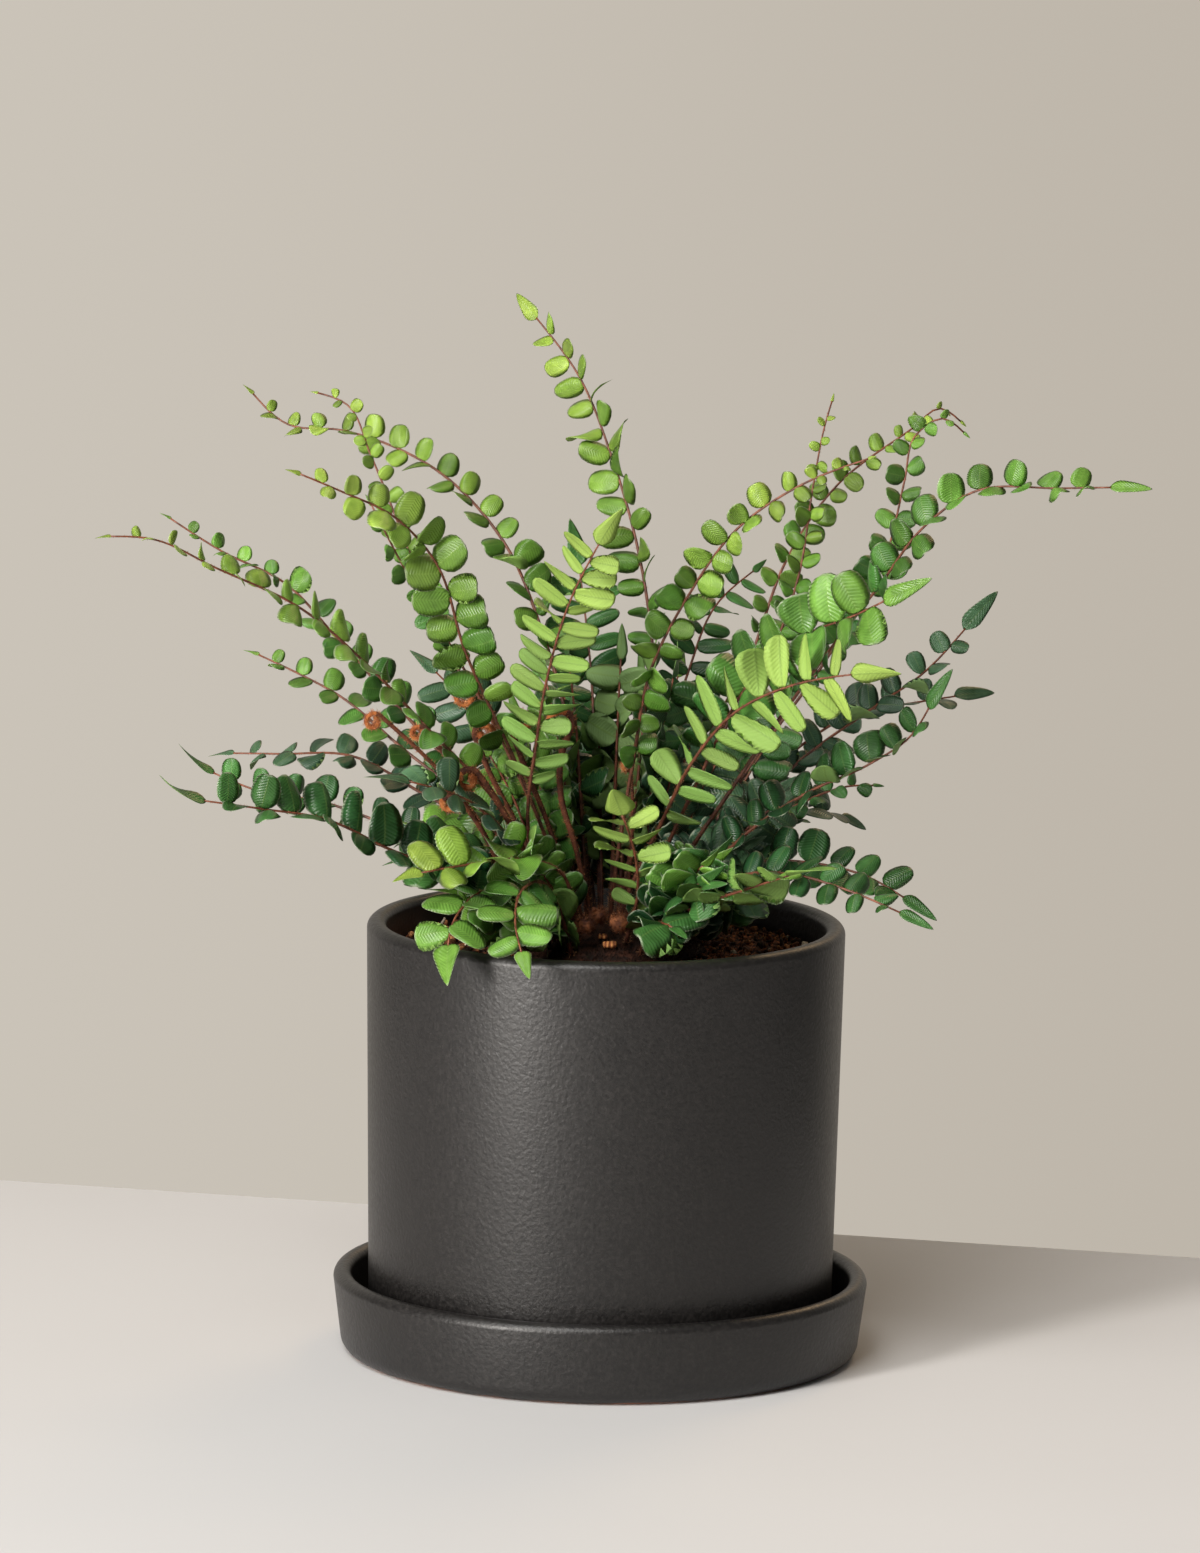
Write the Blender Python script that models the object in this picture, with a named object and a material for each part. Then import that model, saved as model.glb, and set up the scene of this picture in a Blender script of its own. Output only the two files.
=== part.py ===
"""Potted button fern: a stoneware pot on its saucer, potting mix, a rhizome and its fronds.

Origin: centre of the saucer's underside. +Z up, the fern's fuller side faces -Y. Metres.
"""

from math import cos, pi, radians, sin, sqrt

import bmesh
import bpy
import numpy as np
from mathutils.bvhtree import BVHTree

MM = 0.001
GAP = 0.3 * MM  # kept between pieces that rest on each other
ROUND_STEPS = 36  # flats round a turned piece

# Saucer
SAUCER_RADIUS = 78.5 * MM
SAUCER_HEIGHT = 24.0 * MM
SAUCER_WALL = 5.4 * MM
SAUCER_FLOOR = 5.0 * MM
SAUCER_LEAN = 2.2 * MM  # how far the outer wall comes in at the foot
SAUCER_FOOT_ROUND = 4.5 * MM

# Pot, which stands on the saucer's floor
POT_FOOT = SAUCER_FLOOR + GAP
POT_TOP = 128.0 * MM
POT_RADIUS_TOP = 70.0 * MM
POT_RADIUS_FOOT = 68.0 * MM
POT_WALL = 5.7 * MM
POT_FLOOR = 6.0 * MM
POT_RIM_ROUND = 2.6 * MM
POT_FOOT_ROUND = 3.0 * MM
DRAIN_RADIUS = 6.0 * MM

# Potting mix and the rhizome that lies on it
SOIL_TOP = 120.0 * MM
SOIL_EDGE_DROP = 1.2 * MM
CROWN_RADIUS = 29.0 * MM
CROWN_HEIGHT = 7.0 * MM

# Fronds
STALK_HALF_WIDTH = 0.55 * MM
STALK_DEPTH = 0.9 * MM
TIP_HALF_WIDTH = 0.28 * MM
LEAF_THICKNESS = 0.4 * MM
STIPE_STEP = 15.0 * MM
PINNA_FOOT = 1.2 * MM  # width of the joint between a pinna and its stalk
LEAF_CLEARANCE = 0.3 * MM
STIPE_RISE = 0.5 * MM  # height of a stipe's foot above the gap over the rhizome
LAST_PAIR = 0.97  # share of the stalk's leafy part at which the last pair would join
PINNA_LEAN = 0.25  # how much a pinna leans towards the tip
WIDEST_AT = 0.48  # share of a pinna's length at which it is widest
BLUNT_END = 0.27  # half the width of a pinna's end, as a share of its width

# Crosiers
CROSIER_SIDES = 4
CROSIER_TURN = radians(400)
COIL_SHRINK = 0.62  # how much of its radius the coil loses by its inner end

# Finishes
STONEWARE = ("stoneware_matte", (0.022, 0.020, 0.021), 0.45)


def clear_scene():
    for thing in list(bpy.data.objects):
        bpy.data.objects.remove(thing, do_unlink=True)


def material(name, colour, roughness, metallic=0.0):
    """One Principled material, made once and shared by name."""
    found = bpy.data.materials.get(name)
    if found:
        return found
    made = bpy.data.materials.new(name)
    made.use_nodes = True
    shader = made.node_tree.nodes["Principled BSDF"]
    shader.inputs["Base Color"].default_value = (*colour, 1.0)
    shader.inputs["Roughness"].default_value = roughness
    shader.inputs["Metallic"].default_value = metallic
    made.diffuse_color = (*colour, 1.0)
    return made


def place(name, mesh, finish, at=(0.0, 0.0, 0.0)):
    piece = bpy.data.objects.new(name, mesh)
    piece.location = at
    bpy.context.scene.collection.objects.link(piece)
    mesh.materials.append(finish)
    return piece


# ---------------------------------------------------------------- turned pieces


def arc(centre, radius, start, end, steps):
    """Points of a round in the (radius, height) half plane, angles in degrees."""
    turns = [radians(start + (end - start) * i / steps) for i in range(steps + 1)]
    return [(centre[0] + radius * cos(a), centre[1] + radius * sin(a)) for a in turns]


def turned(name, profile, segments, finish):
    """Spins a closed (radius, height) profile, listed counter-clockwise, about the Z axis."""
    shape = bmesh.new()
    ring = [shape.verts.new((r, 0.0, z)) for r, z in profile]
    edges = [shape.edges.new(pair) for pair in zip(ring, ring[1:])]
    on_axis = profile[0][0] == 0.0 and profile[-1][0] == 0.0
    if not on_axis:
        edges.append(shape.edges.new((ring[-1], ring[0])))
    bmesh.ops.spin(
        shape,
        geom=ring + edges,
        cent=(0.0, 0.0, 0.0),
        axis=(0.0, 0.0, 1.0),
        angle=2.0 * pi,
        steps=segments,
        use_merge=True,
    )
    bmesh.ops.remove_doubles(shape, verts=shape.verts, dist=0.01 * MM)
    bmesh.ops.recalc_face_normals(shape, faces=shape.faces)
    mesh = bpy.data.meshes.new(name)
    shape.to_mesh(mesh)
    shape.free()
    mesh.shade_smooth()
    mesh.set_sharp_from_angle(angle=radians(40))
    return place(name, mesh, finish)


def build_saucer():
    foot = SAUCER_RADIUS - SAUCER_LEAN
    corner = SAUCER_FOOT_ROUND
    lip = SAUCER_WALL / 2
    lip_height = SAUCER_HEIGHT - lip
    inside = SAUCER_RADIUS - SAUCER_WALL
    profile = [(0.0, 0.0)]
    profile += arc((foot - corner, corner), corner, -90, 0, 3)
    profile += arc((SAUCER_RADIUS - lip, lip_height), lip, 0, 180, 6)
    profile += arc((inside - 4 * MM, SAUCER_FLOOR + 3 * MM), 3 * MM, 0, -90, 2)
    profile += [(0.0, SAUCER_FLOOR)]
    turned("saucer", profile, ROUND_STEPS, material(*STONEWARE))


def pot_outer_radius(height):
    share = (height - POT_FOOT) / (POT_TOP - POT_FOOT)
    return POT_RADIUS_FOOT + (POT_RADIUS_TOP - POT_RADIUS_FOOT) * share


def build_pot():
    corner = POT_FOOT_ROUND
    round_ = POT_RIM_ROUND
    shoulder = POT_TOP - round_
    inner_floor = POT_FOOT + POT_FLOOR
    inner_foot = POT_RADIUS_FOOT - POT_WALL
    inner_top = POT_RADIUS_TOP - POT_WALL
    profile = [(DRAIN_RADIUS, POT_FOOT)]
    profile += arc((POT_RADIUS_FOOT - corner, POT_FOOT + corner), corner, -90, 0, 3)
    profile += arc((POT_RADIUS_TOP - round_, shoulder), round_, 0, 90, 3)
    profile += arc((inner_top + round_, shoulder), round_, 90, 180, 3)
    profile += arc((inner_foot - 4 * MM, inner_floor + 4 * MM), 4 * MM, 0, -90, 2)
    profile += [(DRAIN_RADIUS, inner_floor)]
    turned("pot", profile, ROUND_STEPS, material(*STONEWARE))


def build_potting_mix():
    floor = POT_FOOT + POT_FLOOR + GAP
    wall_foot = POT_RADIUS_FOOT - POT_WALL - GAP
    wall_top = pot_outer_radius(SOIL_TOP) - POT_WALL - GAP
    profile = [
        (0.0, floor),
        (wall_foot - 5 * MM, floor),
        (wall_foot, floor + 5 * MM),
        (wall_top - 0.2 * MM, SOIL_TOP - SOIL_EDGE_DROP),
        (CROWN_RADIUS + 12 * MM, SOIL_TOP),
        (0.0, SOIL_TOP),
    ]
    turned("potting_mix", profile, ROUND_STEPS, material("potting_mix", (0.030, 0.016, 0.010), 0.95))


def crown_height(x, y):
    """Height of the rhizome's top: a low dome, highest on the pot's axis."""
    return SOIL_TOP + GAP + CROWN_HEIGHT * (1.0 - (x * x + y * y) / CROWN_RADIUS**2)


def build_rhizome():
    rings = [CROWN_RADIUS * share for share in (1.0, 0.8, 0.55, 0.28, 0.0)]
    profile = [(0.0, SOIL_TOP + GAP), (CROWN_RADIUS, SOIL_TOP + GAP)]
    profile += [(r, crown_height(r, 0.0)) for r in rings[1:]]
    turned("rhizome", profile, ROUND_STEPS // 2, material("rhizome_scales", (0.060, 0.028, 0.014), 0.9))


# ---------------------------------------------------------------- curves


def unit(v):
    return v / np.linalg.norm(v, axis=-1, keepdims=True)


def smooth_path(points, spacing=1.0 * MM):
    """A curve through the points, a cubic between each two, sampled evenly by length.

    Each point's tangent is the mean of its two chords' slopes, weighted to the nearer one.
    The first tangent is lifted, because a stalk leaves the rhizome upwards.
    """
    p = np.array(points, float)
    span = np.linalg.norm(np.diff(p, axis=0), axis=1)
    slope = np.diff(p, axis=0) / span[:, None]
    inner = slope[:-1] * span[1:, None] + slope[1:] * span[:-1, None]
    inner /= (span[1:] + span[:-1])[:, None]
    first = unit(slope[0] + np.array([0.0, 0.0, 0.7]))
    tangent = np.vstack([first, inner, 1.5 * slope[-1] - 0.5 * inner[-1]])
    pieces = []
    for i, length in enumerate(span):
        t = np.linspace(0.0, 1.0, 24, endpoint=i == len(span) - 1)[:, None]
        pieces.append(
            (2 * t**3 - 3 * t**2 + 1) * p[i]
            + (t**3 - 2 * t**2 + t) * length * tangent[i]
            + (3 * t**2 - 2 * t**3) * p[i + 1]
            + (t**3 - t**2) * length * tangent[i + 1]
        )
    dense = np.vstack(pieces)
    along = np.concatenate([[0.0], np.cumsum(np.linalg.norm(np.diff(dense, axis=0), axis=1))])
    even = np.linspace(0.0, along[-1], max(8, int(along[-1] / spacing)))
    return np.stack([np.interp(even, along, dense[:, k]) for k in range(3)], axis=1), along[-1]


def frames(path, faces):
    """Tangent, upward normal and right-hand side along a path.

    The normal is the faces direction with its share along the tangent taken out. Where the
    path runs along that direction, the last normal is carried on instead.
    """
    tangent = unit(np.gradient(path, axis=0))
    faces = unit(np.array(faces, float))
    normal = np.empty_like(tangent)
    last = faces
    for i, t in enumerate(tangent):
        across = faces - t * (faces @ t)
        if np.linalg.norm(across) < 0.35:
            across = last - t * (last @ t)
        last = unit(across)
        normal[i] = last
    return tangent, normal, np.cross(tangent, normal)


# ---------------------------------------------------------------- fronds


class Stalk:
    """The stipe and rachis of one frond, with the places where its pinnae join."""

    def __init__(self, name, root, path, faces, fold, pairs, pinna, slim, bare, taper, blade):
        x, y = (value * MM for value in root)
        foot = (x, y, crown_height(x, y) + GAP + STIPE_RISE)
        points = [foot] + [tuple(value * MM for value in point) for point in path]
        self.name = name
        self.path, self.length = smooth_path(points)
        self.tangent, self.normal, self.side = frames(self.path, faces)
        self.fold = radians(fold)
        self.slim = slim
        self.blade = blade * MM
        share = (np.arange(pairs) + 0.5) / pairs
        self.pair_at = self.length * (bare + (1.0 - bare) * share * LAST_PAIR)
        self.pinna_length = pinna * MM * (1.0 - 0.3 * (1.0 - share) ** 3 - taper * share**3)

    def at(self, distance):
        """Point, tangent, normal and side at a distance along the stalk."""
        spot = np.clip(distance / self.length, 0.0, 1.0) * (len(self.path) - 1)
        low = min(int(spot), len(self.path) - 2)
        mix = spot - low
        rows = (self.path, self.tangent, self.normal, self.side)
        return [row[low] * (1 - mix) + row[low + 1] * mix for row in rows]

    def half_width(self, distance):
        share = distance / self.length
        return STALK_HALF_WIDTH + (TIP_HALF_WIDTH - STALK_HALF_WIDTH) * share

    def section(self, distance, half_width=None):
        """The stalk's three-cornered section: right and left of its top, and its keel."""
        point, _, normal, side = self.at(distance)
        width = half_width or self.half_width(distance)
        depth = STALK_DEPTH * self.half_width(distance) / STALK_HALF_WIDTH
        return [point + side * width, point - side * width, point - normal * depth]

    def rings(self):
        """Sections from foot to tip; each pinna joint lies between two of them."""
        bare = self.pair_at[0] - PINNA_FOOT
        steps = max(3, round(bare / STIPE_STEP))
        places = [bare * i / steps for i in range(steps)]
        joints = []
        for middle in self.pair_at:
            joints.append(len(places))
            places += [middle - PINNA_FOOT / 2, middle + PINNA_FOOT / 2]
        return [self.section(place_) for place_ in places], joints

    def blade_rings(self):
        """The leaflet at the tip: an arrowhead that carries the stalk's section on."""
        point, tangent, normal, side = self.at(self.length)
        outline = ((0.0, 0.03), (0.14, 0.26), (0.40, 0.24), (0.75, 0.10))
        made = []
        for along, half in outline:
            middle = point + tangent * self.blade * along
            wide = self.blade * half + TIP_HALF_WIDTH
            made.append(
                [middle + side * wide, middle - side * wide, middle - normal * LEAF_THICKNESS]
            )
        return made, point + tangent * self.blade


def pinna_points(stalk, which, hand, shrink, tilt):
    """Outer points of one pinna: a ring of four at its widest place, and its blunt end.

    hand is 1 on the right and -1 on the left. The pinna leans towards the tip and is folded
    up out of the stalk's plane.
    """
    point, tangent, normal, side = stalk.at(stalk.pair_at[which])
    length = stalk.pinna_length[which] * shrink
    width = length * stalk.slim
    up = stalk.fold + tilt
    out = unit((side * hand * cos(up) + normal * sin(up)) + tangent * PINNA_LEAN)
    face = unit(np.cross(tangent, out) * -hand)
    face = face if face @ normal > 0 else -face
    ahead = unit(np.cross(face, out) * hand)
    ahead = ahead if ahead @ tangent > 0 else -ahead
    middle = point + out * (length * WIDEST_AT)
    end = point + out * length
    half = LEAF_THICKNESS / 2
    wide = {
        (front, top): middle + ahead * front * width / 2 + face * top * half
        for front in (-1, 1)
        for top in (-1, 1)
    }
    half_end = ahead * width * BLUNT_END
    return wide, {-1: end - half_end, 1: end + half_end}


def tree_of(points, faces):
    return BVHTree.FromPolygons(
        [tuple(p) for p in points], faces, epsilon=LEAF_CLEARANCE
    )


class Crowd:
    """What is already standing, for finding whether a new leaf would touch it."""

    def __init__(self):
        self.centres = []
        self.reaches = []
        self.trees = []
        self.owners = []

    def add(self, owner, points, faces):
        points = np.array(points)
        centre = (points.min(0) + points.max(0)) / 2
        self.centres.append(centre)
        self.reaches.append(np.linalg.norm(points - centre, axis=1).max())
        self.trees.append(tree_of(points, faces))
        self.owners.append(owner)

    def touches(self, points, faces, spare):
        """True where these faces meet a piece that isn't in spare."""
        points = np.array(points)
        centre = (points.min(0) + points.max(0)) / 2
        reach = np.linalg.norm(points - centre, axis=1).max()
        away = np.linalg.norm(np.array(self.centres) - centre, axis=1)
        near = np.nonzero(away < np.array(self.reaches) + reach + 2 * LEAF_CLEARANCE)[0]
        tree = tree_of(points, faces)
        return any(
            self.owners[i] != spare and tree.overlap(self.trees[i]) for i in near
        )


PINNA_FACES = ((0, 1, 5, 4), (1, 2, 6, 5), (2, 3, 7, 6), (3, 0, 4, 7))
PINNA_FACES += ((4, 5, 8), (5, 6, 9, 8), (6, 7, 9), (7, 4, 8, 9))
# Shares of its length and extra tilts, in radians, that a pinna is tried at to find room.
PINNA_TRIES = ((1.0, 0.0), (1.0, 0.45), (0.8, -0.4), (0.7, 0.25), (0.55, 0.0), (0.5, 0.7))


def pinna_mesh(stalk, rings, joint, which, hand, shrink, tilt):
    """Ten points and eight faces: the four joint corners, the wide ring and the end."""
    rear, front = rings[joint], rings[joint + 1]
    wide, end = pinna_points(stalk, which, hand, shrink, tilt)
    if hand > 0:
        corners = [rear[0], rear[2], front[2], front[0]]
        marks = [(-1, 1), (-1, -1), (1, -1), (1, 1)]
    else:
        corners = [front[1], front[2], rear[2], rear[1]]
        marks = [(1, 1), (1, -1), (-1, -1), (-1, 1)]
    return corners + [wide[mark] for mark in marks] + [end[marks[0][0]], end[marks[2][0]]]


def stalk_faces(count, grown):
    """Faces of the three-sided stalk, left open where a pinna grows."""
    faces = [(2, 1, 0)]
    for i in range(count - 1):
        a, b = 3 * i, 3 * (i + 1)
        faces.append((a, b, b + 1, a + 1))
        if (i, 1) not in grown:
            faces.append((a, a + 2, b + 2, b))
        if (i, -1) not in grown:
            faces.append((a + 1, b + 1, b + 2, a + 2))
    return faces


OUTER_FACES = ((0, 1, 4), (1, 2, 5, 4), (2, 3, 5), (3, 0, 4, 5), (3, 2, 1, 0))


def tube_faces(count):
    """Closed three-sided tube through a number of rings, for finding what touches it."""
    faces = []
    for i in range(count - 1):
        a, b = 3 * i, 3 * (i + 1)
        faces += [(a, b, b + 1, a + 1), (a, a + 2, b + 2, b), (a + 1, b + 1, b + 2, a + 2)]
    return faces


def grow_pinnae(stalk, rings, joints, blade, crowd):
    """The points of each pinna that finds room, by its joint and hand."""
    own = Crowd()
    own.add("blade", np.array(blade).reshape(-1, 3), tube_faces(len(blade)))
    grown = {}
    for which, joint in enumerate(joints):
        for hand in (1, -1):
            for shrink, tilt in PINNA_TRIES:
                points = pinna_mesh(stalk, rings, joint, which, hand, shrink, tilt)
                if crowd.touches(points, PINNA_FACES, stalk.name):
                    continue
                if own.touches(points[4:], OUTER_FACES, None):
                    continue
                grown[(joint, hand)] = points
                crowd.add(stalk.name, points, PINNA_FACES)
                own.add("pinna", points[4:], OUTER_FACES)
                break
    return grown


def add_frond(stalk, crowd, finish):
    """One closed body: stalk, the pinnae that find room, and the leaflet at the tip."""
    rings, joints = stalk.rings()
    blade, apex = stalk.blade_rings()
    grown = grow_pinnae(stalk, rings, joints, blade, crowd)
    rings = rings + blade
    shape = bmesh.new()
    verts = [shape.verts.new(p) for ring in rings for p in ring]
    for face in stalk_faces(len(rings), grown):
        shape.faces.new([verts[i] for i in face])
    tip = shape.verts.new(apex)
    last = verts[-3:]
    for one, two in ((0, 1), (1, 2), (2, 0)):
        shape.faces.new([last[one], tip, last[two]])
    for (joint, hand), points in grown.items():
        base = 3 * joint
        corners = (base, base + 2, base + 5, base + 3)
        if hand < 0:
            corners = (base + 4, base + 5, base + 2, base + 1)
        own = [verts[i] for i in corners] + [shape.verts.new(p) for p in points[4:]]
        for face in PINNA_FACES:
            shape.faces.new([own[i] for i in face])
    return finish_green(stalk.name, shape, stalk.path[0], finish)


def finish_green(name, shape, origin, finish):
    """Moves the shape's origin to its root and makes the object."""
    bmesh.ops.translate(shape, verts=shape.verts, vec=tuple(-origin))
    bmesh.ops.triangulate(shape, faces=shape.faces)
    bmesh.ops.recalc_face_normals(shape, faces=shape.faces)
    mesh = bpy.data.meshes.new(name)
    shape.to_mesh(mesh)
    shape.free()
    return place(name, mesh, finish, tuple(origin))


# ---------------------------------------------------------------- crosiers


class Crosier:
    """A young frond, still rolled: a hairy stem that ends in a coil of one turn and a bit."""

    def __init__(self, name, root, path, curl, coil, thick):
        x, y = (value * MM for value in root)
        foot = (x, y, crown_height(x, y) + GAP + 0.9 * MM)
        points = [foot] + [tuple(value * MM for value in point) for point in path]
        stem, _ = smooth_path(points)
        ahead = unit(stem[-1] - stem[-3])
        curl = np.array(curl, float)
        inward = unit(curl - ahead * (curl @ ahead))
        centre = stem[-1] + inward * coil * MM
        turn = np.linspace(0.0, CROSIER_TURN, 12)[1:, None]
        radius = coil * MM * (1.0 - COIL_SHRINK * turn / CROSIER_TURN)
        spiral = centre - inward * radius * np.cos(turn) + ahead * radius * np.sin(turn)
        stem_rows = np.linspace(0, len(stem) - 1, max(4, len(stem) // 14)).astype(int)
        self.name = name
        self.path = np.vstack([stem[stem_rows], spiral])
        rows = len(self.path)
        share = np.arange(rows) / (rows - 1)
        self.radius = thick * MM * (0.8 + 0.25 * share)
        self.radius[-1] *= 0.6
        _, self.normal, self.side = frames(self.path, np.cross(ahead, inward))

    def rings(self):
        """Four-sided sections along the stem and round the coil."""
        turns = [2 * pi * k / CROSIER_SIDES for k in range(CROSIER_SIDES)]
        rows = zip(self.path, self.normal, self.side, self.radius)
        return [[p + r * (n * cos(a) + s * sin(a)) for a in turns] for p, n, s, r in rows]


def crosier_faces(count):
    n = CROSIER_SIDES
    faces = [tuple(range(n)), tuple(n * (count - 1) + k for k in reversed(range(n)))]
    for i in range(count - 1):
        for k in range(n):
            faces.append(
                (n * i + k, n * (i + 1) + k, n * (i + 1) + (k + 1) % n, n * i + (k + 1) % n)
            )
    return faces


def add_crosier(crosier, finish):
    rings = crosier.rings()
    shape = bmesh.new()
    verts = [shape.verts.new(p) for ring in rings for p in ring]
    for face in crosier_faces(len(rings)):
        shape.faces.new([verts[i] for i in face])
    return finish_green(crosier.name, shape, crosier.path[0], finish)


# ---------------------------------------------------------------- bark chips


def add_chip(name, at, size, turn, finish):
    """A flake of bark that lies on the rhizome: a five-cornered slab."""
    x, y = (value * MM for value in at)
    long, wide, thick = (value * MM for value in size)
    low = crown_height(x, y) + GAP + 0.8 * MM
    outline = ((-0.5, -0.4), (0.1, -0.5), (0.5, -0.1), (0.35, 0.45), (-0.3, 0.5))
    shape = bmesh.new()
    base = [shape.verts.new((long * u, wide * v, 0.0)) for u, v in outline]
    floor = shape.faces.new(base)
    grown = bmesh.ops.extrude_face_region(shape, geom=[floor])
    top = [part for part in grown["geom"] if isinstance(part, bmesh.types.BMVert)]
    bmesh.ops.translate(shape, verts=top, vec=(0.0, 0.0, thick))
    bmesh.ops.recalc_face_normals(shape, faces=shape.faces)
    mesh = bpy.data.meshes.new(name)
    shape.to_mesh(mesh)
    shape.free()
    piece = place(name, mesh, finish, (x, y, low))
    piece.rotation_euler = (radians(6), radians(-5), radians(turn))


# ---------------------------------------------------------------- the plant
#
# One row for each frond, in millimetres and degrees.
#   root    where the stipe stands on the rhizome (x, y)
#   path    points that the stipe and rachis pass through, to the foot of the tip leaflet
#   faces   the direction that the upper side looks to
#   fold    how far the pinnae are raised out of the frond's plane
#   pairs   pairs of pinnae; pinna, slim: the longest pinna and its width as a share
#   bare    share of the stalk that carries no pinnae; taper: how much the last pairs shrink
#   blade   length of the leaflet at the tip
#   tone    which green

UP = (0.0, 0.0, 1.0)
UP_FRONT = (0.0, -0.6, 0.8)
FRONT = (0.0, -0.9, 0.4)

TONES = {
    "bright": (0.13, 0.25, 0.035),
    "mid": (0.055, 0.145, 0.03),
    "dark": (0.022, 0.072, 0.026),
    "blue": (0.032, 0.075, 0.045),
}

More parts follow.
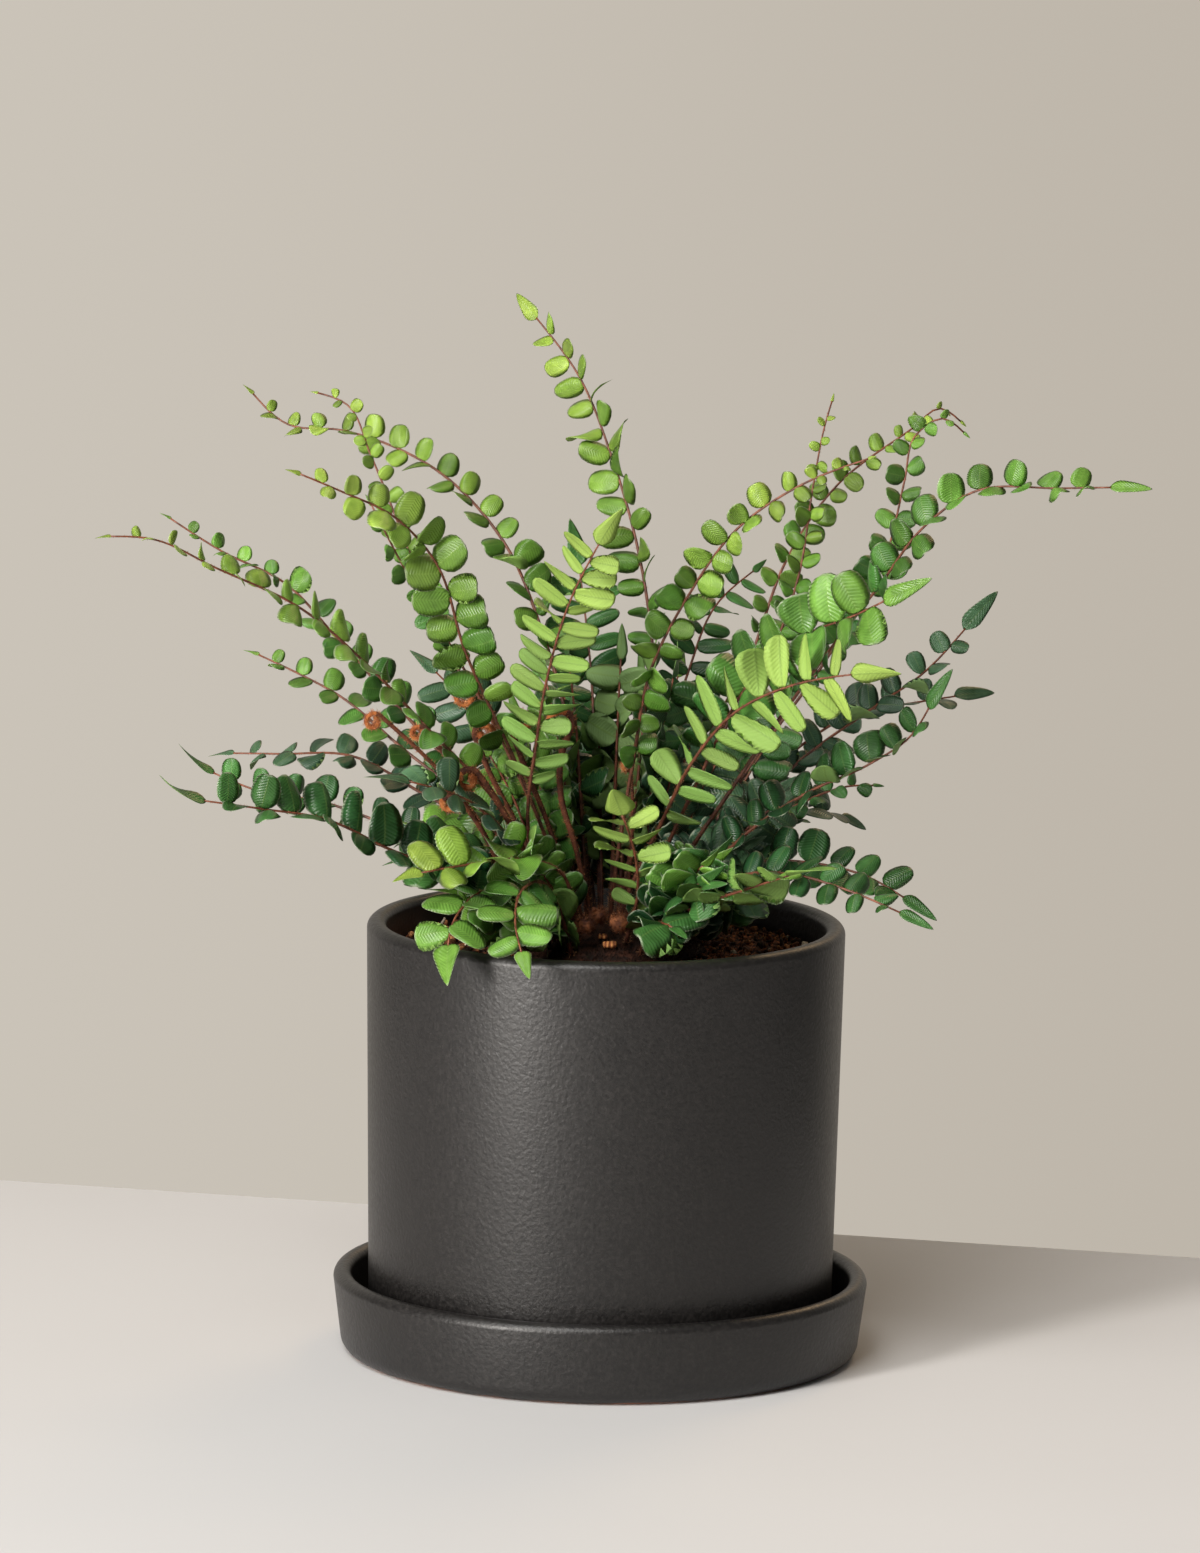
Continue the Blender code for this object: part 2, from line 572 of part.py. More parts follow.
FRONDS = [
    dict(name="tall_top", root=(4, 8),
         path=[(13, 20, 191), (8, 38, 230), (-1, 50, 259), (-11, 62, 281), (-24, 72, 297)],
         faces=(-0.7, -0.6, 0.3), fold=35, pairs=13, pinna=11, slim=0.6, bare=0.42, taper=0.4,
         blade=11, tone="bright"),
    dict(name="upper_left_arch", root=(-5, 9),
         path=[(-10, 18, 173), (-20, 34, 207), (-32, 50, 232), (-52, 66, 251), (-81, 82, 261),
               (-99, 90, 262), (-109, 96, 270)],
         faces=UP_FRONT, fold=30, pairs=16, pinna=9, slim=0.8, bare=0.32, taper=0.6, blade=5,
         tone="bright"),
    dict(name="left_mid_arch", root=(-10, -5),
         path=[(-26, -14, 174), (-42, -28, 211), (-51, -40, 239), (-63, -50, 253),
               (-78, -58, 261), (-89, -62, 266)],
         faces=(-0.2, -0.8, 0.5), fold=20, pairs=12, pinna=11, slim=0.85, bare=0.34,
         taper=0.6, blade=5, tone="bright"),
    dict(name="left_thin_upright", root=(-12, 6),
         path=[(-32, 18, 172), (-50, 30, 208), (-60, 36, 231), (-72, 42, 259), (-79, 46, 273),
               (-88, 50, 276)],
         faces=FRONT, fold=30, pairs=13, pinna=6, slim=0.8, bare=0.45, taper=0.6, blade=3,
         tone="bright"),
    dict(name="left_young_hook", root=(-9, 1),
         path=[(-27, -6, 173), (-45, -8, 207), (-59, -10, 230), (-70, -12, 251)],
         faces=FRONT, fold=40, pairs=7, pinna=6, slim=0.8, bare=0.6, taper=0.5, blade=4,
         tone="mid"),
    dict(name="left_low_front", root=(-15, -8),
         path=[(-31, -22, 164), (-53, -40, 191), (-69, -54, 210), (-88, -66, 228),
               (-112, -78, 241), (-130, -86, 250), (-141, -90, 251)],
         faces=UP_FRONT, fold=30, pairs=14, pinna=9, slim=0.85, bare=0.28, taper=0.7, blade=5,
         tone="bright"),
    dict(name="left_low_back", root=(-16, 1),
         path=[(-38, 8, 162), (-62, 14, 188), (-80, 18, 207), (-96, 22, 223),
               (-115, 24, 232), (-130, 26, 241)],
         faces=UP_FRONT, fold=30, pairs=13, pinna=8, slim=0.85, bare=0.28, taper=0.7, blade=4,
         tone="mid"),
    dict(name="left_small", root=(-20, 9),
         path=[(-38, 24, 155), (-62, 36, 173), (-80, 46, 186), (-94, 54, 192), (-105, 60, 196)],
         faces=UP_FRONT, fold=20, pairs=8, pinna=8, slim=0.75, bare=0.35, taper=0.5, blade=6,
         tone="mid"),
    dict(name="left_flat_back", root=(-18, 14),
         path=[(-35, 28, 148), (-56, 44, 158), (-77, 60, 166), (-99, 74, 164), (-113, 80, 163)],
         faces=UP_FRONT, fold=25, pairs=9, pinna=9, slim=0.7, bare=0.25, taper=0.4, blade=9,
         tone="blue"),
    dict(name="left_flat_front", root=(-22, -6),
         path=[(-41, -26, 144), (-63, -40, 155), (-81, -50, 165), (-99, -58, 169),
               (-115, -64, 172)],
         faces=UP_FRONT, fold=35, pairs=9, pinna=12, slim=0.75, bare=0.22, taper=0.4, blade=17,
         tone="dark"),
    dict(name="left_flat_mid", root=(-23, 3),
         path=[(-46, 16, 145), (-67, 24, 152), (-85, 30, 157), (-103, 34, 159),
               (-117, 36, 164)],
         faces=UP_FRONT, fold=30, pairs=8, pinna=9, slim=0.7, bare=0.3, taper=0.4, blade=13,
         tone="dark"),
    dict(name="front_droop", root=(-10, -25),
         path=[(-18, -36, 145), (-25, -54, 145), (-26, -66, 139), (-24, -76, 132)],
         faces=(0.0, -0.6, 0.7), fold=5, pairs=5, pinna=11, slim=0.66, bare=0.3, taper=0.1,
         blade=10, tone="mid"),
    dict(name="front_left_droop", root=(-16, -19),
         path=[(-29, -34, 142), (-39, -52, 143), (-44, -61, 137), (-45, -67, 132)],
         faces=(-0.3, -0.6, 0.7), fold=5, pairs=4, pinna=11, slim=0.66, bare=0.4, taper=0.1,
         blade=14, tone="mid"),
    dict(name="front_left_lateral", root=(-8, -20),
         path=[(-14, -30, 148), (-28, -42, 153), (-41, -54, 153), (-53, -62, 152)],
         faces=UP_FRONT, fold=20, pairs=5, pinna=12, slim=0.66, bare=0.4, taper=0.2, blade=10,
         tone="bright"),
    dict(name="front_ladder", root=(-13, -13),
         path=[(-23, -20, 157), (-21, -32, 186), (-18, -44, 207), (-12, -56, 230),
               (-4, -66, 248)],
         faces=(0.1, 0.9, 0.2), fold=12, pairs=13, pinna=10, slim=0.5, bare=0.36, taper=0.2,
         blade=16, tone="bright"),
    dict(name="back_ladder", root=(-2, 14),
         path=[(-4, 26, 170), (-6, 40, 197), (-10, 52, 226)],
         faces=(0.1, -0.95, 0.2), fold=10, pairs=12, pinna=12, slim=0.5, bare=0.22, taper=0.2,
         blade=15, tone="dark"),
    dict(name="right_back_ladder", root=(9, 14),
         path=[(16, 26, 172), (23, 42, 196), (31, 56, 214), (42, 66, 223)],
         faces=(0.3, -0.8, 0.4), fold=12, pairs=12, pinna=10, slim=0.5, bare=0.28, taper=0.4,
         blade=7, tone="dark"),
    dict(name="right_tall_arch", root=(12, 7),
         path=[(24, 18, 161), (37, 30, 188), (44, 40, 209), (51, 48, 228), (66, 58, 250),
               (88, 68, 266), (97, 72, 272), (103, 74, 268)],
         faces=(0.3, -0.8, 0.5), fold=25, pairs=15, pinna=7, slim=0.8, bare=0.4, taper=0.7,
         blade=3, tone="bright"),
    dict(name="right_mid_arch", root=(1, -5),
         path=[(7, -16, 178), (12, -28, 208), (21, -36, 228), (37, -46, 252), (53, -52, 264),
               (72, -60, 273)],
         faces=(0.2, -0.8, 0.5), fold=30, pairs=15, pinna=9, slim=0.85, bare=0.28, taper=0.75,
         blade=3, tone="bright"),
    dict(name="right_thin_upright", root=(17, 12),
         path=[(28, 23, 163), (47, 33, 202), (55, 42, 225), (59, 48, 252), (62, 50, 269),
               (64, 52, 276)],
         faces=FRONT, fold=35, pairs=11, pinna=7, slim=0.7, bare=0.5, taper=0.7, blade=3,
         tone="bright"),
    dict(name="right_thin_hook", root=(18, 1),
         path=[(38, 8, 168), (64, 14, 206), (80, 18, 235), (85, 20, 257), (88, 22, 270),
               (96, 22, 275), (102, 22, 271)],
         faces=FRONT, fold=30, pairs=13, pinna=8, slim=0.8, bare=0.46, taper=0.7, blade=3,
         tone="mid"),
    dict(name="far_right_arm", root=(13, -6),
         path=[(39, -18, 176), (62, -28, 212), (77, -36, 234), (89, -44, 252),
               (103, -50, 263), (127, -56, 265), (141, -60, 266)],
         faces=UP_FRONT, fold=35, pairs=13, pinna=9, slim=0.85, bare=0.4, taper=0.45,
         blade=12, tone="mid"),
    dict(name="right_broad", root=(9, -11),
         path=[(26, -28, 175), (41, -44, 207), (56, -56, 222), (69, -66, 229), (77, -72, 234)],
         faces=UP_FRONT, fold=40, pairs=9, pinna=13, slim=0.66, bare=0.42, taper=0.1, blade=17,
         tone="mid"),
    dict(name="right_front_bright", root=(3, -12),
         path=[(16, -26, 163), (24, -40, 182), (37, -56, 200), (52, -68, 209), (68, -80, 214)],
         faces=(0.0, 0.55, 0.85), fold=-20, pairs=9, pinna=15, slim=0.5, bare=0.3, taper=0.2,
         blade=19, tone="bright"),
    dict(name="right_back_tip", root=(15, 18),
         path=[(39, 34, 153), (58, 48, 170), (78, 60, 183), (94, 70, 193), (106, 78, 205)],
         faces=UP_FRONT, fold=30, pairs=9, pinna=10, slim=0.66, bare=0.3, taper=0.4, blade=17,
         tone="blue"),
    dict(name="right_back_mid", root=(9, 20),
         path=[(33, 42, 152), (54, 60, 169), (72, 72, 179), (93, 82, 182), (104, 88, 183)],
         faces=UP_FRONT, fold=30, pairs=8, pinna=10, slim=0.6, bare=0.3, taper=0.3, blade=15,
         tone="blue"),
    dict(name="right_low_arc", root=(19, -5),
         path=[(37, -20, 155), (58, -34, 173), (75, -44, 183), (86, -50, 192), (91, -54, 201)],
         faces=UP_FRONT, fold=35, pairs=9, pinna=10, slim=0.8, bare=0.3, taper=0.4, blade=14,
         tone="dark"),
    dict(name="right_low_thin", root=(22, 7),
         path=[(39, 14, 149), (58, 22, 161), (71, 26, 165), (78, 28, 165)],
         faces=UP_FRONT, fold=30, pairs=7, pinna=8, slim=0.7, bare=0.3, taper=0.5, blade=4,
         tone="dark"),
    dict(name="right_low_back", root=(21, 15),
         path=[(32, 36, 143), (45, 50, 149), (62, 60, 152), (70, 66, 149)],
         faces=UP_FRONT, fold=20, pairs=6, pinna=11, slim=0.7, bare=0.3, taper=0.2, blade=12,
         tone="blue"),
    dict(name="right_low_front", root=(13, -19),
         path=[(24, -30, 137), (38, -44, 145), (52, -56, 152)],
         faces=(0.0, 0.3, 0.95), fold=15, pairs=6, pinna=11, slim=0.6, bare=0.25, taper=0.1,
         blade=18, tone="mid"),
    dict(name="right_droop", root=(24, -1),
         path=[(40, -12, 147), (62, -18, 149), (76, -22, 146), (86, -26, 141)],
         faces=UP_FRONT, fold=10, pairs=7, pinna=10, slim=0.7, bare=0.3, taper=0.3, blade=12,
         tone="dark"),
    dict(name="right_droop_front", root=(20, -13),
         path=[(38, -30, 147), (55, -44, 150), (70, -52, 147), (84, -57, 142)],
         faces=UP_FRONT, fold=15, pairs=7, pinna=9, slim=0.7, bare=0.3, taper=0.4, blade=11,
         tone="dark"),
    dict(name="front_small", root=(6, -18),
         path=[(9, -26, 141), (8, -32, 153), (4, -40, 166)],
         faces=(0.1, 0.8, 0.5), fold=10, pairs=5, pinna=10, slim=0.42, bare=0.22, taper=0.1,
         blade=12, tone="bright"),
    dict(name="left_back_dark", root=(-10, 15),
         path=[(-26, 32, 161), (-39, 46, 180), (-52, 58, 192)],
         faces=(-0.2, -0.7, 0.6), fold=15, pairs=7, pinna=11, slim=0.5, bare=0.35, taper=0.2,
         blade=13, tone="blue"),
    dict(name="left_centre_blade", root=(-19, -12),
         path=[(-30, -26, 158), (-42, -44, 171), (-57, -54, 177)],
         faces=UP_FRONT, fold=15, pairs=6, pinna=11, slim=0.6, bare=0.35, taper=0.2, blade=15,
         tone="blue"),
    dict(name="back_tall", root=(-4, 21),
         path=[(-8, 42, 158), (-12, 68, 178), (-18, 94, 189)],
         faces=(0.0, -0.5, 0.9), fold=20, pairs=9, pinna=11, slim=0.6, bare=0.3, taper=0.3,
         blade=13, tone="dark"),
    dict(name="back_right", root=(14, 24),
         path=[(24, 50, 160), (36, 78, 184), (46, 102, 194)],
         faces=(-0.2, -0.5, 0.8), fold=20, pairs=9, pinna=10, slim=0.65, bare=0.3, taper=0.3,
         blade=12, tone="mid"),
    dict(name="back_low_left", root=(-14, 22),
         path=[(-30, 46, 147), (-44, 72, 154), (-52, 94, 148)],
         faces=UP, fold=20, pairs=8, pinna=10, slim=0.7, bare=0.3, taper=0.3, blade=12,
         tone="dark"),
    dict(name="back_low_right", root=(8, 26),
         path=[(20, 54, 145), (34, 82, 149), (42, 104, 141)],
         faces=UP, fold=20, pairs=8, pinna=10, slim=0.7, bare=0.3, taper=0.3, blade=12,
         tone="mid"),
    dict(name="back_centre", root=(1, 26),
         path=[(2, 56, 152), (6, 88, 165), (2, 116, 160)],
         faces=UP, fold=20, pairs=9, pinna=11, slim=0.65, bare=0.3, taper=0.3, blade=12,
         tone="mid"),
    dict(name="front_right_short", root=(10, -24),
         path=[(14, -32, 133), (19, -43, 134)],
         faces=(0.2, -0.5, 0.8), fold=5, pairs=3, pinna=12, slim=0.8, bare=0.4, taper=0.1,
         blade=10, tone="dark"),
    dict(name="left_bush", root=(-24, -12),
         path=[(-32, -22, 144), (-44, -27, 151), (-55, -30, 151)],
         faces=(-0.2, -0.6, 0.7), fold=10, pairs=5, pinna=12, slim=0.75, bare=0.3, taper=0.1,
         blade=11, tone="dark"),
    dict(name="right_bush", root=(18, 8),
         path=[(28, 15, 148), (41, 24, 168), (50, 31, 184)],
         faces=(-0.2, -0.8, 0.5), fold=15, pairs=8, pinna=11, slim=0.62, bare=0.25, taper=0.2,
         blade=12, tone="dark"),
    dict(name="centre_bush", root=(3, 19),
         path=[(9, 32, 156), (16, 46, 178), (20, 58, 192)],
         faces=(0.1, -0.9, 0.4), fold=12, pairs=9, pinna=12, slim=0.6, bare=0.22, taper=0.2,
         blade=12, tone="mid"),
]

CROSIERS = [
    dict(name="hook", root=(-4, -12),
         path=[(-9, -15, 151), (-14, -17, 169), (-14, -18, 179), (-11, -18, 188)],
         curl=(-1.0, -0.2, 0.0), coil=4.0, thick=1.5),
    dict(name="pair_right", root=(-8, -9),
         path=[(-18, -8, 159), (-25, -10, 176), (-29, -12, 187)],
         curl=(1.0, 0.2, 0.0), coil=3.5, thick=1.3),
    dict(name="pair_left", root=(-14, -3),
         path=[(-26, -6, 156), (-35, -12, 174), (-39, -14, 184)],
         curl=(1.0, -0.3, 0.0), coil=3.5, thick=1.3),
    dict(name="stout", root=(-15, -16),
         path=[(-25, -26, 154), (-32, -32, 168), (-38, -36, 177)],
         curl=(-1.0, -0.3, 0.0), coil=3.5, thick=1.5),
    dict(name="stout_low", root=(-22, -15),
         path=[(-32, -26, 150), (-38, -31, 162), (-43, -34, 169)],
         curl=(-1.0, 0.0, 0.0), coil=3.0, thick=1.3),
    dict(name="slim_centre", root=(6, 1),
         path=[(7, -1, 150), (7, -4, 165), (6, -6, 176)],
         curl=(-0.5, -1.0, 0.0), coil=2.4, thick=0.9),
    dict(name="slim_left", root=(-20, -2),
         path=[(-40, -14, 168), (-53, -21, 187)],
         curl=(-1.0, 0.0, 0.0), coil=2.6, thick=0.9),
    dict(name="slim_far_left", root=(-21, 5),
         path=[(-46, -2, 168), (-67, -8, 189)],
         curl=(-0.4, 0.0, -1.0), coil=2.6, thick=0.9),
    dict(name="nodding", root=(-7, 4),
         path=[(-28, 0, 176), (-39, -4, 196)],
         curl=(-1.0, -0.2, 0.0), coil=3.6, thick=1.0),
]

CHIPS = [
    dict(name="front", at=(1, -22), size=(5.0, 3.4, 1.2), turn=25),
    dict(name="right", at=(14, -12), size=(4.4, 3.0, 1.0), turn=-50),
    dict(name="left", at=(-1, -17), size=(3.6, 2.6, 1.0), turn=80),
]


def standing_pieces(crowd, names):
    for name in names:
        mesh = bpy.data.objects[name].data
        faces = [tuple(face.vertices) for face in mesh.polygons]
        crowd.add(name, [vert.co for vert in mesh.vertices], faces)


def build_plant():
    crowd = Crowd()
    standing_pieces(crowd, ("saucer", "pot", "potting_mix", "rhizome"))
    hair = material("crosier_hair", (0.32, 0.10, 0.03), 0.9)
    for row in CROSIERS:
        crosier = Crosier(**{**row, "name": "crosier_" + row["name"]})
        rings = crosier.rings()
        crowd.add(crosier.name, np.array(rings).reshape(-1, 3), crosier_faces(len(rings)))
        add_crosier(crosier, hair)
    stalks = []
    for row in FRONDS:
        settings = {key: value for key, value in row.items() if key != "tone"}
        settings["name"] = "frond_" + row["name"]
        stalk = Stalk(**settings)
        rings = stalk.rings()[0] + stalk.blade_rings()[0]
        crowd.add(stalk.name, np.array(rings).reshape(-1, 3), tube_faces(len(rings)))
        stalks.append((stalk, row["tone"]))
    for stalk, tone in stalks:
        add_frond(stalk, crowd, material("leaf_" + tone, TONES[tone], 0.5))
    bark = material("bark", (0.16, 0.055, 0.022), 0.9)
    for row in CHIPS:
        add_chip("bark_chip_" + row["name"], row["at"], row["size"], row["turn"], bark)


clear_scene()
build_saucer()
build_pot()
build_potting_mix()
build_rhizome()
build_plant()
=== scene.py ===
import bpy
import numpy as np
from mathutils import Matrix, Vector


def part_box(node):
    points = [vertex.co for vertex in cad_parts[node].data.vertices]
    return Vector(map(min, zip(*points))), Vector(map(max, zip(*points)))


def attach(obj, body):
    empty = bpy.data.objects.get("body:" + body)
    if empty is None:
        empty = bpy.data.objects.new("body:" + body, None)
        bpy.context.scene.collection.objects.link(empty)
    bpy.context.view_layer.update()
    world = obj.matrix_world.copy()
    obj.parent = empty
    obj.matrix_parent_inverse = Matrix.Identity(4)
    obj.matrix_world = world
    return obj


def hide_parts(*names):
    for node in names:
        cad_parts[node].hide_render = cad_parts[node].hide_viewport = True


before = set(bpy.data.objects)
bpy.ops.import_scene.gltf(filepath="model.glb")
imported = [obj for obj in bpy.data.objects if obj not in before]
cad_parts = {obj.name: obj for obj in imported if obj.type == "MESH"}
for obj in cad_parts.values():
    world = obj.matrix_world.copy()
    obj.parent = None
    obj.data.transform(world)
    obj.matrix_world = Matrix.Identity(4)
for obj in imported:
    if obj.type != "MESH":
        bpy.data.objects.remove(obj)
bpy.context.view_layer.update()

MM = 0.001

# ------------------------------------------------------------------ saucer
# The saucer is slip-cast stoneware, fired with a satin charcoal glaze. Its lip is a full
# round and its corner a wide one. It stands on a foot that is left bare of glaze, so a
# line of orange clay shows just above the table.

SAUCER_WALL = 5.4 * MM
SAUCER_FLOOR = 5.0 * MM
SAUCER_LEAN = 2.2 * MM
SAUCER_CORNER = 4.5 * MM
SAUCER_INNER_CORNER = 3.0 * MM
TURNED_STEPS = 192
MIDDLE_DISC = 6 * MM  # radius at which a turned piece without a hole is closed flat


def arc(centre, radius, start, end, steps):
    """Points of a round in the (radius, height) plane, from start to end in degrees."""
    turn = np.radians(np.linspace(start, end, steps))
    return np.array(centre) + radius * np.stack([np.cos(turn), np.sin(turn)], axis=1)


def turned(profile, hollow=False):
    """Carries a (radius, height) profile round the Z axis.

    Point (i, k) is (r_i cos a_k, r_i sin a_k, z_i), and the profile runs anticlockwise. The
    last row joins the first where the piece is hollow in the middle, and otherwise each end
    is closed by one flat many-sided face.
    """
    rows = len(profile)
    turn = np.linspace(0.0, 2 * np.pi, TURNED_STEPS, endpoint=False)
    r, z = profile[:, :1], profile[:, 1:]
    points = np.stack([r * np.cos(turn), r * np.sin(turn), z + 0 * turn], axis=2)
    here = np.arange(rows * TURNED_STEPS).reshape(rows, TURNED_STEPS)
    there = np.roll(here, -1, axis=1)
    lower = np.arange(rows if hollow else rows - 1)
    upper = (lower + 1) % rows
    faces = np.stack([here[lower], there[lower], there[upper], here[upper]], axis=-1)
    sets = [faces.reshape(-1, 4)]
    if not hollow:
        sets += [here[:1, ::-1], here[-1:]]
    return points.reshape(-1, 3), sets


def add_piece(name, points, face_sets, finishes, slot, stands_for=(), **marks):
    """Makes one piece at the origin, which rides on the pot and may stand for CAD nodes.

    face_sets are arrays of corner numbers, a face to each row. marks may hold finish, the
    number of each face's material; uv, a pair for each point; and tone, a colour for each.
    """
    corners = np.concatenate([faces.ravel() for faces in face_sets])
    sizes = np.concatenate([np.full(len(faces), faces.shape[1]) for faces in face_sets])
    mesh = bpy.data.meshes.new(name)
    mesh.vertices.add(len(points))
    mesh.vertices.foreach_set("co", np.ascontiguousarray(points, np.float32).ravel())
    mesh.loops.add(len(corners))
    mesh.loops.foreach_set("vertex_index", corners.astype(np.int32))
    mesh.polygons.add(len(sizes))
    mesh.polygons.foreach_set("loop_start", (np.cumsum(sizes) - sizes).astype(np.int32))
    if "finish" in marks:
        mesh.polygons.foreach_set("material_index", marks["finish"].astype(np.int32))
    mesh.update(calc_edges=True)
    mesh.shade_smooth()
    if "uv" in marks:
        layer = mesh.uv_layers.new(name="leaf")
        layer.data.foreach_set("uv", marks["uv"][corners].astype(np.float32).ravel())
    if "tone" in marks:
        tone = np.ones((len(points), 4), np.float32)
        tone[:, :3] = marks["tone"]
        mesh.attributes.new("tone", "FLOAT_COLOR", "POINT").data.foreach_set("color", tone.ravel())
    for finish in finishes:
        mesh.materials.append(finish)
    piece = bpy.data.objects.new(name, mesh)
    bpy.context.scene.collection.objects.link(piece)
    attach(piece, "root")
    if stands_for:
        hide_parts(*stands_for)


def linear(code):
    """An sRGB hex colour as linear RGBA: ((c + 0.055) / 1.055) ** 2.4, or c / 12.92 if dark."""
    c = np.array([int(code[i : i + 2], 16) for i in (1, 3, 5)]) / 255
    c = np.where(c > 0.04045, ((c + 0.055) / 1.055) ** 2.4, c / 12.92)
    return (*c.tolist(), 1.0)


def node(finish, kind, inputs=None, ramp=None, **settings):
    """Adds one shader node. inputs go to its sockets by name or number, as values or links.

    A pattern's Scale is how many of its features lie in a metre, so 820 is one in 1.2 mm.
    """
    made = finish.node_tree.nodes.new("ShaderNode" + kind)
    for key, value in settings.items():
        setattr(made, key, value)
    for key, value in (inputs or {}).items():
        socket = made.inputs[key]
        if isinstance(value, bpy.types.NodeSocket):
            finish.node_tree.links.new(value, socket)
        else:
            socket.default_value = value
    if ramp:
        while len(made.color_ramp.elements) < len(ramp):
            made.color_ramp.elements.new(0.5)
        for element, (place, code) in zip(made.color_ramp.elements, ramp):
            element.position = place
            element.color = linear(code)
    return made


def new_finish(name):
    """A material with nothing in it but its output."""
    finish = bpy.data.materials.new(name)
    finish.use_nodes = True
    finish.node_tree.nodes.clear()
    return finish


def stoneware_finish():
    """Satin charcoal glaze on stoneware: dark, faintly mottled, with an orange-peel surface
    about 1.2 mm from dimple to dimple that breaks up a broad soft highlight."""
    f = new_finish("satin_glazed_stoneware")
    at = node(f, "TexCoord").outputs["Object"]
    mottle = node(f, "TexNoise", {"Vector": at, "Scale": 800.0, "Detail": 2.0})
    cloud = node(f, "TexNoise", {"Vector": at, "Scale": 60.0, "Detail": 3.0})
    glaze = node(f, "ValToRGB", {0: mottle.outputs[0]},
                 ramp=[(0.30, "#141212"), (0.52, "#1b1918"), (0.75, "#262322")])
    shade = node(f, "Mix", {0: 0.35, 6: glaze.outputs[0], 7: cloud.outputs[0]},
                 data_type="RGBA", blend_type="MULTIPLY")
    height = node(f, "SeparateXYZ", {0: at}).outputs["Z"]
    line = node(f, "TexNoise", {"Vector": at, "Scale": 90.0, "Detail": 1.0})
    wave = node(f, "Math", {0: line.outputs[0], 1: 0.0014, 2: height}, operation="MULTIPLY_ADD")
    bare = node(f, "MapRange", {0: wave.outputs[0], 1: 0.0010, 2: 0.0014, 3: 1.0, 4: 0.0})
    clay = node(f, "Mix", {0: bare.outputs[0], 6: shade.outputs[2], 7: linear("#8a5233")},
                data_type="RGBA")
    gloss = node(f, "MapRange", {0: mottle.outputs[0], 1: 0.3, 2: 0.7, 3: 0.37, 4: 0.47})
    dimples = node(f, "TexNoise", {"Vector": at, "Scale": 820.0, "Detail": 1.5})
    bump = node(f, "Bump", {"Height": dimples.outputs[0], "Strength": 0.7, "Distance": 0.00018})
    glazed = node(f, "BsdfPrincipled", {
        "Base Color": clay.outputs[2], "Roughness": gloss.outputs[0], "IOR": 1.52,
        "Normal": bump.outputs[0]})
    node(f, "OutputMaterial", {0: glazed.outputs[0]})
    return f


stoneware = stoneware_finish()
saucer_low, saucer_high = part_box("saucer")
saucer_radius, saucer_height = saucer_high[0], saucer_high[2]
saucer_lip = SAUCER_WALL / 2
saucer_profile = np.concatenate([
    [(MIDDLE_DISC, 0.0)],
    arc((saucer_radius - SAUCER_LEAN - SAUCER_CORNER, SAUCER_CORNER), SAUCER_CORNER, -90, 0, 9),
    arc((saucer_radius - saucer_lip, saucer_height - saucer_lip), saucer_lip, 0, 180, 17),
    arc((saucer_radius - SAUCER_WALL - SAUCER_INNER_CORNER, SAUCER_FLOOR + SAUCER_INNER_CORNER),
        SAUCER_INNER_CORNER, 0, -90, 7),
    [(MIDDLE_DISC, SAUCER_FLOOR)],
])
saucer_points, saucer_faces = turned(saucer_profile)
add_piece("glazed_saucer", saucer_points, saucer_faces, [stoneware], "stoneware", ["saucer"])

# ------------------------------------------------------------------ pot
# The pot is cast from the same stoneware and glazed with the saucer. It is a plain cylinder,
# 2 mm wider at its round rim than at its foot, and it stands on the saucer's floor.

POT_WALL = 5.7 * MM
POT_FLOOR = 6.0 * MM
POT_NARROWING = 2.0 * MM
POT_RIM_ROUND = 2.6 * MM
POT_CORNER = 3.0 * MM
POT_INNER_CORNER = 4.0 * MM
DRAIN_RADIUS = 6.0 * MM

pot_low, pot_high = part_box("pot")
pot_radius, pot_foot, pot_top = pot_high[0], pot_low[2], pot_high[2]
pot_foot_radius = pot_radius - POT_NARROWING
pot_profile = np.concatenate([
    [(DRAIN_RADIUS, pot_foot)],
    arc((pot_foot_radius - POT_CORNER, pot_foot + POT_CORNER), POT_CORNER, -90, 0, 7),
    arc((pot_radius - POT_RIM_ROUND, pot_top - POT_RIM_ROUND), POT_RIM_ROUND, 0, 90, 9),
    arc((pot_radius - POT_WALL + POT_RIM_ROUND, pot_top - POT_RIM_ROUND),
        POT_RIM_ROUND, 90, 180, 9),
    arc((pot_foot_radius - POT_WALL - POT_INNER_CORNER, pot_foot + POT_FLOOR + POT_INNER_CORNER),
        POT_INNER_CORNER, 0, -90, 5),
    [(DRAIN_RADIUS, pot_foot + POT_FLOOR)],
])
pot_points, pot_faces = turned(pot_profile, hollow=True)
add_piece("glazed_pot", pot_points, pot_faces, [stoneware], "stoneware", ["pot"])

# ------------------------------------------------------------------ potting mix
# The pot is filled to 8 mm below its rim with a peat and bark mix: a dark, crumbly bed with
# loose crumbs on it, reddish slivers of bark, and a few pale grains of perlite.

MIX_SINK = 0.9 * MM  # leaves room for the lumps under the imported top
MIX_EDGE_DROP = 1.2 * MM
MIX_WALL_LEAN = 1.6 * MM
MIX_CORNER = 5 * MM  # height of the lower corner, cut back to clear the pot's own
MIX_FOOT_INSET = 6.5 * MM
MIX_RINGS = 70
CRUMBS = 2600

rng = np.random.default_rng(7)


